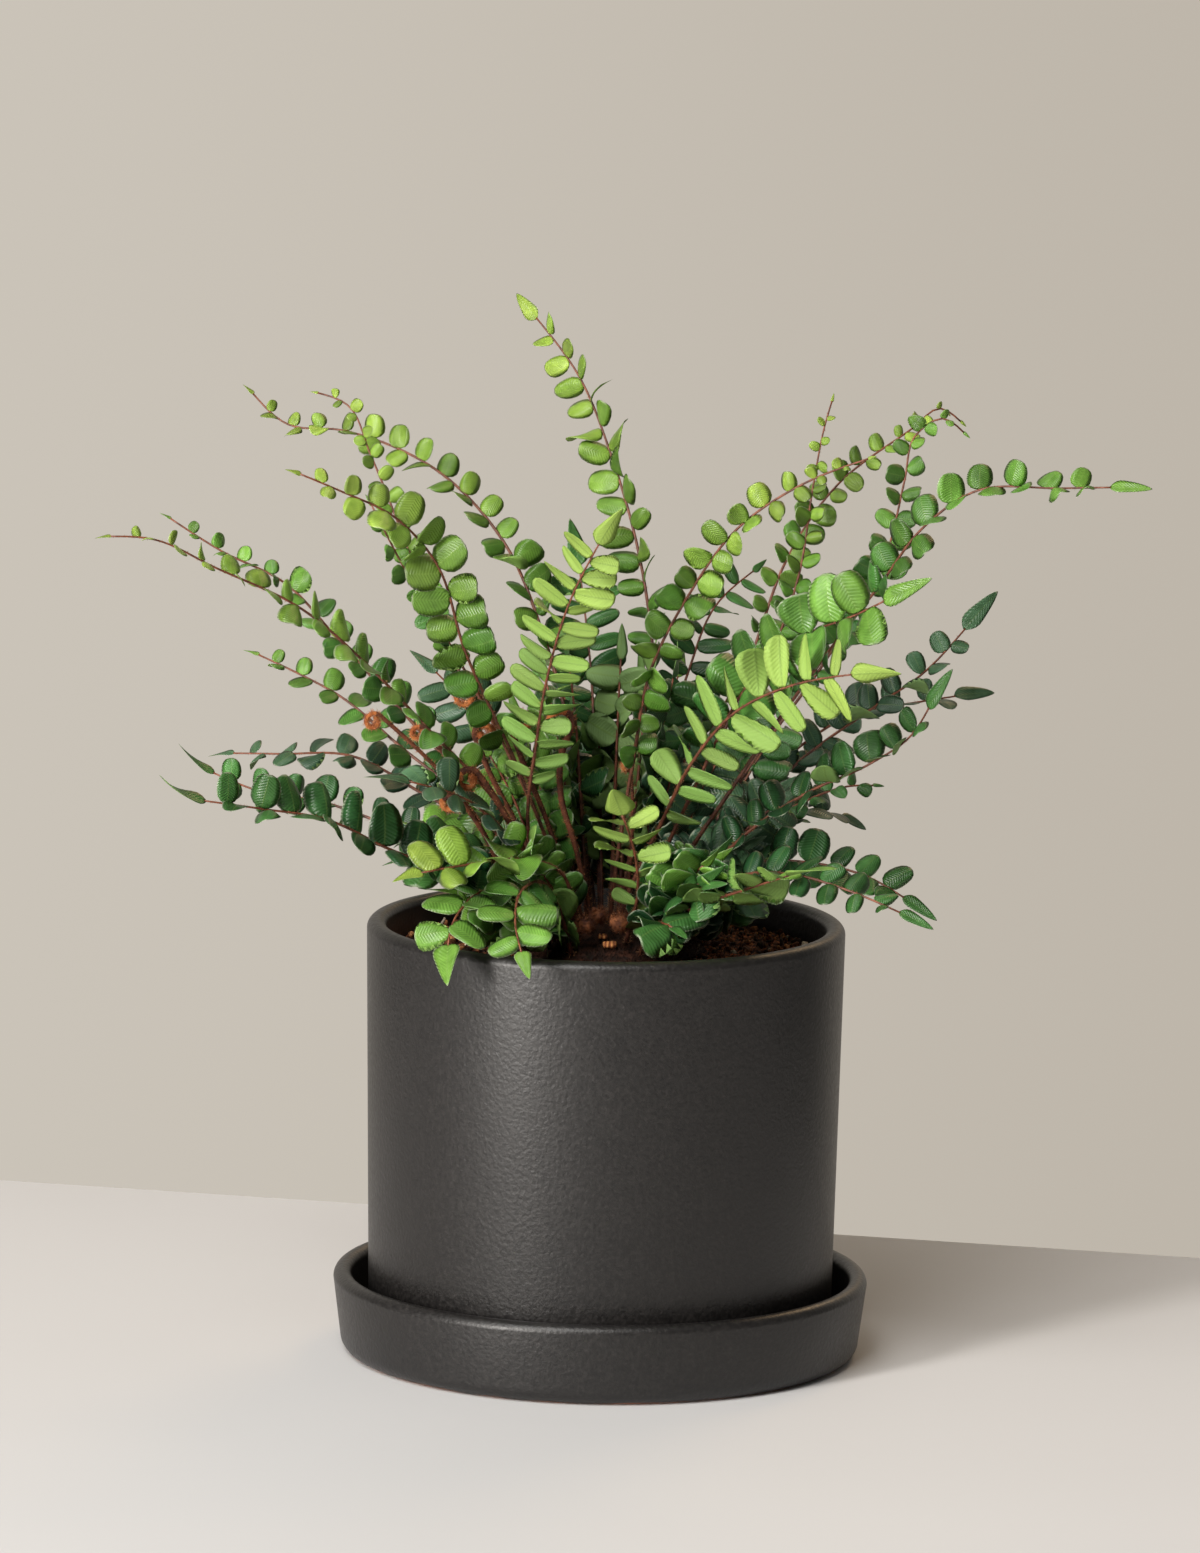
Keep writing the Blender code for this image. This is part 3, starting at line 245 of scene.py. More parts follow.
def rough(points, size, waves=14):
    """Uneven height, about -1 to 1, at each (x, y): a sum of sine waves that run in chance
    directions, each about size long."""
    heading = rng.uniform(0, 2 * np.pi, waves)
    length = size * rng.uniform(0.6, 1.7, waves)
    start = rng.uniform(0, 2 * np.pi, waves)
    along = points[..., :1] * np.cos(heading) + points[..., 1:2] * np.sin(heading)
    return np.sin(2 * np.pi * along / length + start).sum(-1) / np.sqrt(waves)


mix_low, mix_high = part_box("potting_mix")
mix_top, mix_floor = mix_high[2], mix_low[2]
mix_radius = mix_high[0]
mix_rings = np.linspace(mix_radius, 3 * MM, MIX_RINGS)
mix_profile = np.concatenate([
    [(MIDDLE_DISC, mix_floor), (mix_radius - MIX_FOOT_INSET, mix_floor),
     (mix_radius - MIX_WALL_LEAN, mix_floor + MIX_CORNER)],
    np.stack([mix_rings, np.full(MIX_RINGS, mix_top)], axis=1),
])
mix_points, mix_faces = turned(mix_profile)
mix_bed = mix_points[3 * TURNED_STEPS :]
mix_reach = np.linalg.norm(mix_bed[:, :2], axis=1) / mix_radius
mix_bed[:, 2] += (
    0.5 * MM * rough(mix_bed, 9 * MM) + 0.45 * MM * rough(mix_bed, 2.6 * MM)
    - MIX_SINK - MIX_EDGE_DROP * mix_reach**6
)


def peat_finish():
    """Peat and composted bark: matt, almost black where it is damp, red-brown where a fibre
    shows. Its grain is 0.5 to 2 mm."""
    f = new_finish("peat_and_bark_mix")
    at = node(f, "TexCoord").outputs["Object"]
    grain = node(f, "TexNoise", {"Vector": at, "Scale": 700.0, "Detail": 4.0})
    lumps = node(f, "TexVoronoi", {"Vector": at, "Scale": 650.0})
    earth = node(f, "ValToRGB", {0: grain.outputs[0]},
                 ramp=[(0.35, "#2b1b13"), (0.50, "#54311f"), (0.60, "#915232"), (0.72, "#d98654")])
    bump = node(f, "Bump", {"Height": lumps.outputs[0], "Strength": 0.9, "Distance": 0.0012})
    matt = node(f, "BsdfPrincipled", {"Base Color": earth.outputs[0], "Roughness": 0.92,
                                      "Specular IOR Level": 0.3, "Normal": bump.outputs[0]})
    node(f, "OutputMaterial", {0: matt.outputs[0]})
    return f


def crumb_finish():
    """Loose crumbs, each its own colour: damp peat, red-brown bark fibre or pale grit."""
    f = new_finish("loose_peat_crumbs")
    at = node(f, "TexCoord").outputs["Object"]
    own = node(f, "VertexColor", layer_name="tone").outputs[0]
    grain = node(f, "TexNoise", {"Vector": at, "Scale": 1500.0, "Detail": 2.0})
    flecks = node(f, "ValToRGB", {0: grain.outputs[0]}, ramp=[(0.3, "#8a8a8a"), (0.7, "#ffffff")])
    tint = node(f, "Mix", {0: 1.0, 6: own, 7: flecks.outputs[0]}, data_type="RGBA",
                blend_type="MULTIPLY")
    matt = node(f, "BsdfPrincipled", {"Base Color": tint.outputs[2], "Roughness": 0.85,
                                      "Specular IOR Level": 0.35})
    node(f, "OutputMaterial", {0: matt.outputs[0]})
    return f


def grains(centres, sizes):
    """One 20-faced lump at each centre: an icosahedron stretched by that row's three sizes,
    turned at random, with each corner moved in or out by up to a fifth."""
    golden = (1 + 5**0.5) / 2
    corners = np.array([(s, t * golden, 0) for s in (-1, 1) for t in (-1, 1)], float)
    corners = np.concatenate([corners, np.roll(corners, 1, axis=1), np.roll(corners, 2, axis=1)])
    apart = np.linalg.norm(corners[:, None] - corners, axis=2)
    near = np.abs(apart - 2) < 0.01
    a, b, c = np.array([(i, j, k) for i in range(12) for j in range(i + 1, 12)
                        for k in range(j + 1, 12) if near[i, j] and near[j, k] and near[i, k]]).T
    facing = (np.cross(corners[b] - corners[a], corners[c] - corners[a]) * corners[a]).sum(1) > 0
    shape = np.stack([a, np.where(facing, b, c), np.where(facing, c, b)], axis=1)
    corners /= np.linalg.norm(corners[0])
    count = len(centres)
    turn = np.linalg.qr(rng.normal(size=(count, 3, 3)))[0]
    turn *= np.sign(np.linalg.det(turn))[:, None, None]
    lumps = corners * rng.uniform(0.8, 1.2, (count, 12, 1)) * sizes[:, None]
    points = centres[:, None] + lumps @ turn
    faces = shape + 12 * np.arange(count)[:, None, None]
    return points.reshape(-1, 3), faces.reshape(-1, 3)


def pick_tones(codes, shares, count):
    """A linear colour for each of count things, drawn from the codes in those shares."""
    chosen = rng.choice(len(codes), count, p=shares)
    tones = np.array([linear(code)[:3] for code in codes])[chosen]
    return tones * rng.uniform(0.7, 1.3, (count, 1))


add_piece("peat_bed", mix_points, mix_faces, [peat_finish()], "potting_mix", ["potting_mix"])

crumb_turn = rng.uniform(0, 2 * np.pi, CRUMBS)
crumb_reach = (mix_radius - 2.5 * MM) * np.sqrt(rng.uniform(0.02, 1, CRUMBS))
crumb_at = np.stack([crumb_reach * np.cos(crumb_turn), crumb_reach * np.sin(crumb_turn),
                     mix_top + rng.normal(-0.5, 0.35, CRUMBS) * MM], axis=1)
crumb_size = rng.gamma(4.0, 0.17, (CRUMBS, 1)) * MM
crumb_size = crumb_size * rng.uniform((0.8, 0.5, 0.4), (1.7, 1.0, 0.8), (CRUMBS, 3))
crumb_points, crumb_faces = grains(crumb_at, crumb_size)
crumb_tones = pick_tones(["#38241a", "#6e412b", "#aa6c43", "#dc9863", "#dccdb8"],
                         [0.34, 0.28, 0.22, 0.13, 0.03], CRUMBS)
add_piece("peat_crumbs", crumb_points, [crumb_faces], [crumb_finish()], "potting_mix",
          tone=np.repeat(crumb_tones, 12, axis=0))

# ------------------------------------------------------------------ rhizome
# A creeping rhizome lies on the mix, under a felt of dark brown scales and roots. Stipe
# stumps and two resting buds, thick with rust-brown hair, stand on its front.

CROWN_RADIUS = 29.0 * MM
CROWN_HEIGHT = 7.0 * MM
CROWN_HAIRS = 5200
BUD_HAIRS = 260
HAIR_HALF_WIDTH = 0.11 * MM
REST_GAP = 0.3 * MM

BUDS = [  # x, y, height of the middle, and half-width, in millimetres
    (-6, -25, 131, 3.0), (4, -25, 132, 3.2), (-2, -20, 133, 2.6), (12, -20, 130, 2.6),
    (9, -14, 135, 2.4), (-13, -18, 131, 2.4),
]


def crown_height(x, y):
    """Height of the rhizome's top: a low dome, a paraboloid about the pot's axis."""
    return mix_top + REST_GAP + CROWN_HEIGHT * (1 - (x * x + y * y) / CROWN_RADIUS**2)


def unit(v):
    """Each vector over its own length."""
    return v / np.linalg.norm(v, axis=-1, keepdims=True)


def hairs(roots, ways, lengths, half_width):
    """A thin three-sided spike for each hair, from its root along its way.

    The base is a triangle of three points at half_width from the root, and a fourth point
    closes it at the hair's end.
    """
    flat = unit(np.cross(ways, rng.normal(size=ways.shape)))
    other = np.cross(ways, flat)
    turn = np.radians((0.0, 120.0, 240.0))
    ring = flat[:, None] * np.cos(turn)[:, None] + other[:, None] * np.sin(turn)[:, None]
    ring = roots[:, None] + ring * half_width
    points = np.concatenate([ring, (roots + ways * lengths[:, None])[:, None]], axis=1)
    shape = np.array([(0, 2, 1), (0, 1, 3), (1, 2, 3), (2, 0, 3)])
    faces = shape + 4 * np.arange(len(roots))[:, None, None]
    return points.reshape(-1, 3), faces.reshape(-1, 3)


def hair_finish(name, root_code, tip_code):
    """Fern hair: dry, matt and brown, paler where it thins. The colour wanders over 3 mm."""
    f = new_finish(name)
    at = node(f, "TexCoord").outputs["Object"]
    drift = node(f, "TexNoise", {"Vector": at, "Scale": 330.0, "Detail": 2.0})
    brown = node(f, "ValToRGB", {0: drift.outputs[0]}, ramp=[(0.35, root_code), (0.65, tip_code)])
    dry = node(f, "BsdfPrincipled", {"Base Color": brown.outputs[0], "Roughness": 0.8,
                                     "Specular IOR Level": 0.3})
    node(f, "OutputMaterial", {0: dry.outputs[0]})
    return f


def join(pieces):
    """Stacks (points, faces) pairs into one, with each pair's corner numbers moved on."""
    starts = np.cumsum([0] + [len(points) for points, _ in pieces[:-1]])
    faces = [faces + start for (_, faces), start in zip(pieces, starts)]
    return np.concatenate([points for points, _ in pieces]), faces


crown_rings = np.linspace(CROWN_RADIUS, 2 * MM, 40)
crown_profile = np.concatenate([
    [(MIDDLE_DISC, mix_top + REST_GAP)],
    np.stack([crown_rings, crown_height(crown_rings, 0.0)], axis=1),
])
crown_points, crown_faces = turned(crown_profile)
crown_dome = crown_points[2 * TURNED_STEPS :]
crown_reach = np.linalg.norm(crown_dome[:, :2], axis=1) / CROWN_RADIUS
crown_dome[:, 2] += 0.5 * MM * rough(crown_dome, 7 * MM) * np.clip(1.1 - crown_reach, 0, 1)
crown_felt = hair_finish("rhizome_scale_felt", "#170d08", "#3f2214")
add_piece("scaly_rhizome", crown_points, crown_faces, [crown_felt], "rhizome", ["rhizome"])

hair_turn = rng.uniform(0, 2 * np.pi, CROWN_HAIRS)
hair_reach = CROWN_RADIUS * np.sqrt(rng.uniform(0, 1, CROWN_HAIRS))
hair_x, hair_y = hair_reach * np.cos(hair_turn), hair_reach * np.sin(hair_turn)
hair_roots = np.stack([hair_x, hair_y, crown_height(hair_x, hair_y) - 0.2 * MM], axis=1)
hair_ways = unit(rng.normal(0, 0.6, (CROWN_HAIRS, 3)) + (0, 0, 0.7)
                 + np.stack([hair_x, hair_y, 0 * hair_x], axis=1) / CROWN_RADIUS * 0.6)
crown_fuzz = hairs(hair_roots, hair_ways, rng.uniform(1.2, 4.2, CROWN_HAIRS) * MM,
                   HAIR_HALF_WIDTH)

buds = np.array(BUDS) * MM
bud_lumps = grains(buds[:, :3], buds[:, 3:] * (0.9, 0.9, 1.0))
bud_ways = unit(rng.normal(size=(len(buds), BUD_HAIRS, 3)))
bud_roots = buds[:, None, :3] + bud_ways * buds[:, None, 3:] * 0.8
bud_lean = unit(bud_ways + rng.normal(0, 0.35, bud_ways.shape) + (0, 0, 0.5))
bud_fuzz = hairs(bud_roots.reshape(-1, 3), bud_lean.reshape(-1, 3),
                 rng.uniform(0.8, 2.0, len(buds) * BUD_HAIRS) * MM, HAIR_HALF_WIDTH)
rust_hair = hair_finish("rust_brown_hair", "#3c1d10", "#7d4a2a")
bud_points, bud_faces = join([bud_lumps, bud_fuzz, crown_fuzz])
bud_finish = np.repeat([0, 0, 1], [len(faces) for faces in bud_faces])
add_piece("crown_hair", bud_points, bud_faces, [rust_hair, crown_felt], "rhizome",
          finish=bud_finish)

# ------------------------------------------------------------------ fronds
# Each frond is a wiry brown stalk, hairy near the rhizome, with two ranks of leathery
# pinnae and a longer leaflet at its tip. The upper face of a pinna is glossy and pleated
# by its veins, with a pale beaded margin; the lower face is matt and yellow-green.

STALK_FOOT_RADIUS = 0.75 * MM
STALK_TIP_RADIUS = 0.26 * MM
STALK_SIDES = 6
STALK_SPACING = 2.5 * MM
PINNA_THICKNESS = 0.34 * MM
PINNA_ROWS = np.array([0.0, 0.07, 0.22, 0.42, 0.62, 0.80, 0.93, 1.0])
PINNA_COLUMNS = np.array([-1.0, -0.55, 0.0, 0.55, 1.0])
FOOT_HAIRS = 7.0  # to each millimetre of stalk, at its foot
TIP_HAIRS = 1.2
STALK_HAIR_HALF_WIDTH = 0.055 * MM
CURVE_STEPS = 24  # between two points of a path
SOUND_SHARE = 0.35  # least part of a faces direction that has to lie across the path


def smooth_path(points, spacing):
    """A curve through the points, sampled evenly by length.

    Between each two points it is a cubic. Each point's tangent is the mean of its two
    chords' slopes, weighted to the nearer one, and the first is lifted by 0.7.
    """
    p = np.array(points, float)
    span = np.linalg.norm(np.diff(p, axis=0), axis=1)[:, None]
    slope = np.diff(p, axis=0) / span
    inner = (slope[:-1] * span[1:] + slope[1:] * span[:-1]) / (span[1:] + span[:-1])
    first = unit(slope[:1] + (0.0, 0.0, 0.7))
    tangent = np.concatenate([first, inner, 1.5 * slope[-1:] - 0.5 * inner[-1:]])
    t = np.linspace(0.0, 1.0, CURVE_STEPS)[:, None, None]
    dense = (
        (2 * t**3 - 3 * t**2 + 1) * p[:-1] + (t**3 - 2 * t**2 + t) * span * tangent[:-1]
        + (3 * t**2 - 2 * t**3) * p[1:] + (t**3 - t**2) * span * tangent[1:]
    )
    dense = dense.transpose(1, 0, 2).reshape(-1, 3)
    along = np.cumsum(np.linalg.norm(np.diff(dense, axis=0, prepend=dense[:1]), axis=1))
    even = np.linspace(0.0, along[-1], max(8, int(along[-1] / spacing)))
    path = np.stack([np.interp(even, along, dense[:, k]) for k in range(3)], axis=1)
    return path, along[-1]


def read_along(track, share):
    """A track's coordinates at shares of its length, from 0 to 1, worked out between rows."""
    spot = np.clip(share, 0, 1) * (len(track) - 1)
    rows = np.arange(len(track))
    return np.stack([np.interp(spot, rows, track[:, k]) for k in range(3)], axis=1)


def carried_frame(path, faces):
    """Tangent, normal and side at each point of a path.

    The normal is the faces direction less its share along the tangent. Where the path runs
    along that direction, the last sound direction before it is used instead.
    """
    tangent = unit(np.gradient(path, axis=0))
    faces = unit(np.array(faces, float))
    across = faces - tangent * (tangent @ faces)[:, None]
    sound = np.linalg.norm(across, axis=1) >= SOUND_SHARE
    last = np.maximum.accumulate(np.where(sound, np.arange(len(path)), 0))
    chosen = across[last]
    normal = unit(chosen - tangent * (chosen * tangent).sum(1, keepdims=True))
    return tangent, normal, np.cross(tangent, normal)


def quads(grid):
    """The four-cornered faces of a grid of corner numbers."""
    corners = [grid[:-1, :-1], grid[1:, :-1], grid[1:, 1:], grid[:-1, 1:]]
    return np.stack(corners, axis=-1).reshape(-1, 4)


def tube(path, normal, side, radius, sides):
    """A closed tube: point (i, k) is path_i + radius_i (normal_i cos a_k + side_i sin a_k)."""
    turn = np.linspace(0, 2 * np.pi, sides, endpoint=False)[:, None]
    ring = normal[:, None] * np.cos(turn) + side[:, None] * np.sin(turn)
    points = path[:, None] + ring * radius[:, None, None]
    here = np.arange(len(path) * sides).reshape(-1, sides)
    round_wall = quads(np.concatenate([here, here[:, :1]], axis=1))
    return points.reshape(-1, 3), [round_wall, here[:1], here[-1:, ::-1]]


def leaf_shells(foot, out, across, face, length, width, outline, shape):
    """Closed lens-shaped leaves, all of one grid.

    A leaf's point at (u, v) is foot + out u length + across v width outline(u) / 2 + face h.
    h falls as bend u^2, rises as cup v^2 and twists as u v, and half the thickness is added
    above and taken off below. The leaf sweeps to one side as u^2. The two faces share the
    margin, v = -1 or 1. shape holds bend, cup, twist and sweep, a row for each leaf.
    """
    rows, columns = len(outline[0]), len(PINNA_COLUMNS)
    u, v = (grid.ravel() for grid in np.meshgrid(outline[0], PINNA_COLUMNS, indexing="ij"))
    half = np.repeat(outline[1], columns) / 2
    top = np.arange(rows * columns).reshape(rows, columns)
    inner = np.zeros((rows, columns), bool)
    inner[1:-1, 1:-1] = True
    under = top.copy()
    under[inner] = rows * columns + np.arange(inner.sum())
    u = np.concatenate([u, u[inner.ravel()]])
    v = np.concatenate([v, v[inner.ravel()]])
    half = np.concatenate([half, half[inner.ravel()]])
    above = np.concatenate([np.where(inner.ravel(), 1.0, 0.0), -np.ones(inner.sum())])
    thick = above * PINNA_THICKNESS / 2 * np.sqrt(1 - v**2) * (1 - (2 * u - 1) ** 4)
    bend, cup, twist, sweep = (shape[:, k : k + 1] for k in range(4))
    rise = length[:, None] * (-bend * u**2 + twist * u * v * half)
    rise = rise + width[:, None] * cup * (v**2 * half * 2) + thick
    drift = v * width[:, None] * half + sweep * length[:, None] * u**2
    points = (
        foot[:, None] + out[:, None] * (length[:, None] * u)[..., None]
        + across[:, None] * drift[..., None] + face[:, None] * rise[..., None]
    )
    shell = np.concatenate([quads(top), quads(under)[:, ::-1]])
    faces = shell + len(u) * np.arange(len(foot))[:, None, None]
    finish = np.tile(np.repeat([0, 1], len(shell) // 2), len(foot))
    uv = np.tile(np.stack([u, (v + 1) / 2], axis=1), (len(foot), 1))
    return points.reshape(-1, 3), faces.reshape(-1, 4), finish, uv


PINNA_OUTLINE = (PINNA_ROWS, np.array([0.26, 0.68, 0.96, 1.03, 0.98, 0.84, 0.58, 0.20]))
TIP_OUTLINE = (
    np.array([0.0, 0.06, 0.14, 0.24, 0.36, 0.50, 0.66, 0.82, 0.94, 1.0]),
    np.array([0.16, 0.60, 0.92, 1.0, 0.90, 0.74, 0.56, 0.36, 0.17, 0.04]),
)


def grown_frond(row):
    """The points, faces, finishes, uv and tones of one frond.

    Pinna i of n on one side is at the share s = (i + 0.62) / n of the leafy part, and on the
    other at (i + 0.34) / n, so that left and right alternate. It joins the stalk at 0.97 s,
    and its length is pinna (1 - 0.3 (1 - s)^3 - taper s^3), give or take a sixth.
    """
    x, y = np.array(row["root"]) * MM
    foot = (x, y, crown_height(x, y) + 0.8 * MM)
    points = [foot] + [tuple(np.array(point) * MM) for point in row["path"]]
    path, length = smooth_path(points, STALK_SPACING)
    tangent, normal, side = carried_frame(path, row["faces"])
    share = np.arange(len(path)) / (len(path) - 1)
    radius = STALK_FOOT_RADIUS + (STALK_TIP_RADIUS - STALK_FOOT_RADIUS) * share**0.8
    stalk_points, stalk_faces = tube(path, normal, side, radius, STALK_SIDES)

    pairs, loose = row["pairs"], row.get("loose", 1.0)
    hand = np.tile([1.0, -1.0], pairs)
    s = (np.repeat(np.arange(pairs), 2) + np.where(hand > 0, 0.62, 0.34)) / pairs
    joint = length * (row["bare"] + (1 - row["bare"]) * s * 0.97)
    size = row["pinna"] * MM * (1 - 0.3 * (1 - s) ** 3 - row["taper"] * s**3)
    size *= rng.uniform(0.86, 1.18, len(s))
    fold = np.radians(row["fold"] + rng.normal(0, 13 * loose, len(s)))[:, None]
    lean = (0.25 + rng.normal(0, 0.16 * loose, len(s)))[:, None]
    t, n, w = (unit(read_along(track, joint / length)) for track in (tangent, normal, side))
    out = unit((w * hand[:, None] * np.cos(fold) + n * np.sin(fold)) + t * lean)
    face = unit(np.cross(t, out) * -hand[:, None])
    face = unit(face + t * rng.normal(0, 0.28 * loose, (len(s), 1)))
    face = unit(face - out * (face * out).sum(1, keepdims=True))
    across = np.cross(face, out)
    shape = np.stack([
        rng.normal(0.10, 0.09, len(s)), rng.normal(-0.10, 0.13, len(s)),
        rng.normal(0, 0.45, len(s)), 0.06 * hand * rng.uniform(0.2, 1.4, len(s)),
    ], axis=1)
    pinna_feet = read_along(path, joint / length) + n * 0.2 * MM
    pinna_widths = size * row["slim"] * rng.uniform(1.0, 1.22, len(s))
    pinnae = leaf_shells(pinna_feet, out, across, face, size, pinna_widths, PINNA_OUTLINE, shape)
    blade = np.array([row["blade"] * MM])
    tip = leaf_shells(path[-1:] - tangent[-1:] * 0.4 * MM, tangent[-1:], -side[-1:], normal[-1:],
                      blade, blade * row.get("blade_width", 0.34), TIP_OUTLINE,
                      np.array([[row.get("blade_bend", 0.12), 0.12, 0.3, 0.05]]))

    count = int(length / MM * (FOOT_HAIRS + TIP_HAIRS) / 2)
    place = rng.uniform(0, 1, count) ** 1.7
    turn = rng.uniform(0, 2 * np.pi, (count, 1))
    radial = read_along(normal, place) * np.cos(turn) + read_along(side, place) * np.sin(turn)
    reach = rng.uniform(0.5, 1.5, count) * MM * (1.25 - 0.8 * place)
    thin = np.interp(place, share, radius)[:, None] * 0.8
    ways = unit(radial + read_along(tangent, place) * rng.uniform(-0.2, 0.9, (count, 1)))
    fuzz = hairs(read_along(path, place) + radial * thin, ways, reach, STALK_HAIR_HALF_WIDTH)

    # The frond's tone gives its lit or shaded green: painted light and painted shade.
    young, grown = (np.array(linear(code)[:3]) for code in LIT_AND_SHADED_GREENS[row["tone"]])
    age = np.clip(s**1.5 + rng.normal(0, 0.12, len(s)), 0, 1)[:, None]
    green = grown + (young - grown) * age
    # Pinnae nearer the stalk's foot are darkened, to 0.72 at the foot: painted shade of the
    # crown's inside. The rest of this spread is random tone.
    green *= rng.uniform(0.65, 1.35, (len(s), 1)) * (0.72 + 0.28 * s[:, None] ** 0.5)
    per_pinna = len(pinnae[0]) // len(s)
    stems, faces = join([
        (pinnae[0], pinnae[1]), (tip[0], tip[1]), (stalk_points, stalk_faces[0]), fuzz,
    ])
    caps = [cap + len(pinnae[0]) + len(tip[0]) for cap in stalk_faces[1:]]
    stalk_tone = np.repeat(share, STALK_SIDES)[:, None] * (0.6, 0.55, 0.5) + (0.4, 0.4, 0.4)
    tones = np.concatenate([
        np.repeat(green, per_pinna, axis=0), np.tile(young * 0.95, (len(tip[0]), 1)), stalk_tone,
        np.ones((len(fuzz[0]), 3)),
    ])
    leaf_uv = np.concatenate([pinnae[3], tip[3]])
    uv = np.concatenate([leaf_uv, np.zeros((len(stems) - len(leaf_uv), 2))])
    finish = np.concatenate([
        pinnae[2], tip[2], np.full(len(stalk_faces[0]), 2), np.full(len(fuzz[1]), 3), [2, 2],
    ])
    return stems, faces + caps, finish, uv, tones


def leaf_pattern(f):
    """A leaf's own colour; how far along it and how far out from its midrib a point is, each
    from 0 to 1; and its pleats, sin(75 (along + 0.22 out)), which run out to the margin."""
    own = node(f, "VertexColor", layer_name="tone").outputs[0]
    uv = node(f, "SeparateXYZ", {0: node(f, "UVMap", uv_map="leaf").outputs[0]})
    along, over = uv.outputs["X"], uv.outputs["Y"]
    centred = node(f, "Math", {0: over, 1: 2.0, 2: -1.0}, operation="MULTIPLY_ADD").outputs[0]
    out = node(f, "Math", {0: centred}, operation="ABSOLUTE").outputs[0]
    slant = node(f, "Math", {0: out, 1: 0.22, 2: along}, operation="MULTIPLY_ADD").outputs[0]
    turn = node(f, "Math", {0: slant, 1: 75.0}, operation="MULTIPLY").outputs[0]
    return own, along, out, node(f, "Math", {0: turn}, operation="SINE").outputs[0]


def leaf_face_finish():
    """The upper face: leathery and glossy, with a fine pleat for each vein, every 0.8 mm or
    so, a sunk midrib, and a whitish bead at each tooth of the margin."""
    f = new_finish("leathery_leaf_upper_face")
    at = node(f, "TexCoord").outputs["Object"]
    own, along, out, pleat = leaf_pattern(f)
    side_edge = node(f, "MapRange", {0: out, 1: 0.88, 2: 0.99}, interpolation_type="SMOOTHSTEP")
    end_edge = node(f, "MapRange", {0: along, 1: 0.93, 2: 0.995}, interpolation_type="SMOOTHSTEP")
    edge = node(f, "Math", {0: side_edge.outputs[0], 1: end_edge.outputs[0]}, operation="MAXIMUM")
    bead = node(f, "MapRange", {0: pleat, 1: -0.1, 2: 0.7, 3: 0.65, 4: 1.0}).outputs[0]
    pale = node(f, "Math", {0: edge.outputs[0], 1: bead}, operation="MULTIPLY").outputs[0]
    pale = node(f, "Math", {0: pale, 1: 0.55}, operation="MULTIPLY").outputs[0]
    drift = node(f, "TexNoise", {"Vector": at, "Scale": 260.0, "Detail": 3.0}).outputs[0]
    clouds = node(f, "ValToRGB", {0: drift}, ramp=[(0.3, "#c4ccbc"), (0.7, "#ffffff")])
    green = node(f, "Mix", {0: 1.0, 6: own, 7: clouds.outputs[0]}, data_type="RGBA",
                 blend_type="MULTIPLY").outputs[2]
    rib = node(f, "MapRange", {0: out, 1: 0.0, 2: 0.08, 3: 0.16, 4: 0.0}).outputs[0]
    green = node(f, "Mix", {0: rib, 6: green, 7: linear("#9db562")}, data_type="RGBA").outputs[2]
    green = node(f, "Mix", {0: pale, 6: green, 7: linear("#d5dcc0")}, data_type="RGBA").outputs[2]
    depth = node(f, "Math", {0: pleat, 1: 0.25, 2: rib}, operation="MULTIPLY_ADD").outputs[0]
    bump = node(f, "Bump", {"Height": depth, "Strength": 0.45, "Distance": 0.0004})
    glossy = node(f, "BsdfPrincipled", {"Base Color": green, "Roughness": 0.33, "IOR": 1.48,
                                        "Normal": bump.outputs[0]})
    through = node(f, "BsdfTranslucent", {0: green})
    leaf = node(f, "MixShader", {0: 0.22, 1: glossy.outputs[0], 2: through.outputs[0]})
    node(f, "OutputMaterial", {0: leaf.outputs[0]})
    return f


def leaf_back_finish():
    """The lower face: matt, paler and yellower than the upper one, with a raised midrib and
    the veins showing faintly."""
    f = new_finish("matt_leaf_lower_face")
    own, _, out, pleat = leaf_pattern(f)
    rib = node(f, "MapRange", {0: out, 1: 0.0, 2: 0.12, 3: 0.5, 4: 0.0}).outputs[0]
    green = node(f, "Mix", {0: 0.50, 6: own, 7: linear("#8fad5c")}, data_type="RGBA").outputs[2]
    green = node(f, "Mix", {0: rib, 6: green, 7: linear("#6f8c42")}, data_type="RGBA").outputs[2]
    depth = node(f, "Math", {0: pleat, 1: 0.2, 2: rib}, operation="MULTIPLY_ADD").outputs[0]
    bump = node(f, "Bump", {"Height": depth, "Strength": 0.4, "Distance": 0.0004})
    matt = node(f, "BsdfPrincipled", {"Base Color": green, "Roughness": 0.62, "IOR": 1.42,
                                      "Normal": bump.outputs[0]})
    through = node(f, "BsdfTranslucent", {0: green})
    leaf = node(f, "MixShader", {0: 0.22, 1: matt.outputs[0], 2: through.outputs[0]})
    node(f, "OutputMaterial", {0: leaf.outputs[0]})
    return f


def stalk_finish():
    """The stalk: woody and smooth under its hair, dark brown at the foot and reddish higher
    up, finely streaked."""
    f = new_finish("woody_fern_stalk")
    at = node(f, "TexCoord").outputs["Object"]
    own = node(f, "VertexColor", layer_name="tone").outputs[0]
    streak = node(f, "TexNoise", {"Vector": at, "Scale": 480.0, "Detail": 2.0})
    brown = node(f, "ValToRGB", {0: streak.outputs[0]}, ramp=[(0.3, "#4a2417"), (0.7, "#8a5038")])
    tint = node(f, "Mix", {0: 1.0, 6: brown.outputs[0], 7: own}, data_type="RGBA",
                blend_type="MULTIPLY")
    woody = node(f, "BsdfPrincipled", {"Base Color": tint.outputs[2], "Roughness": 0.5})
    node(f, "OutputMaterial", {0: woody.outputs[0]})
    return f


frond_finishes = [
    leaf_face_finish(), leaf_back_finish(), stalk_finish(),
    hair_finish("tan_stalk_hair", "#8a5638", "#c79a70"),
]
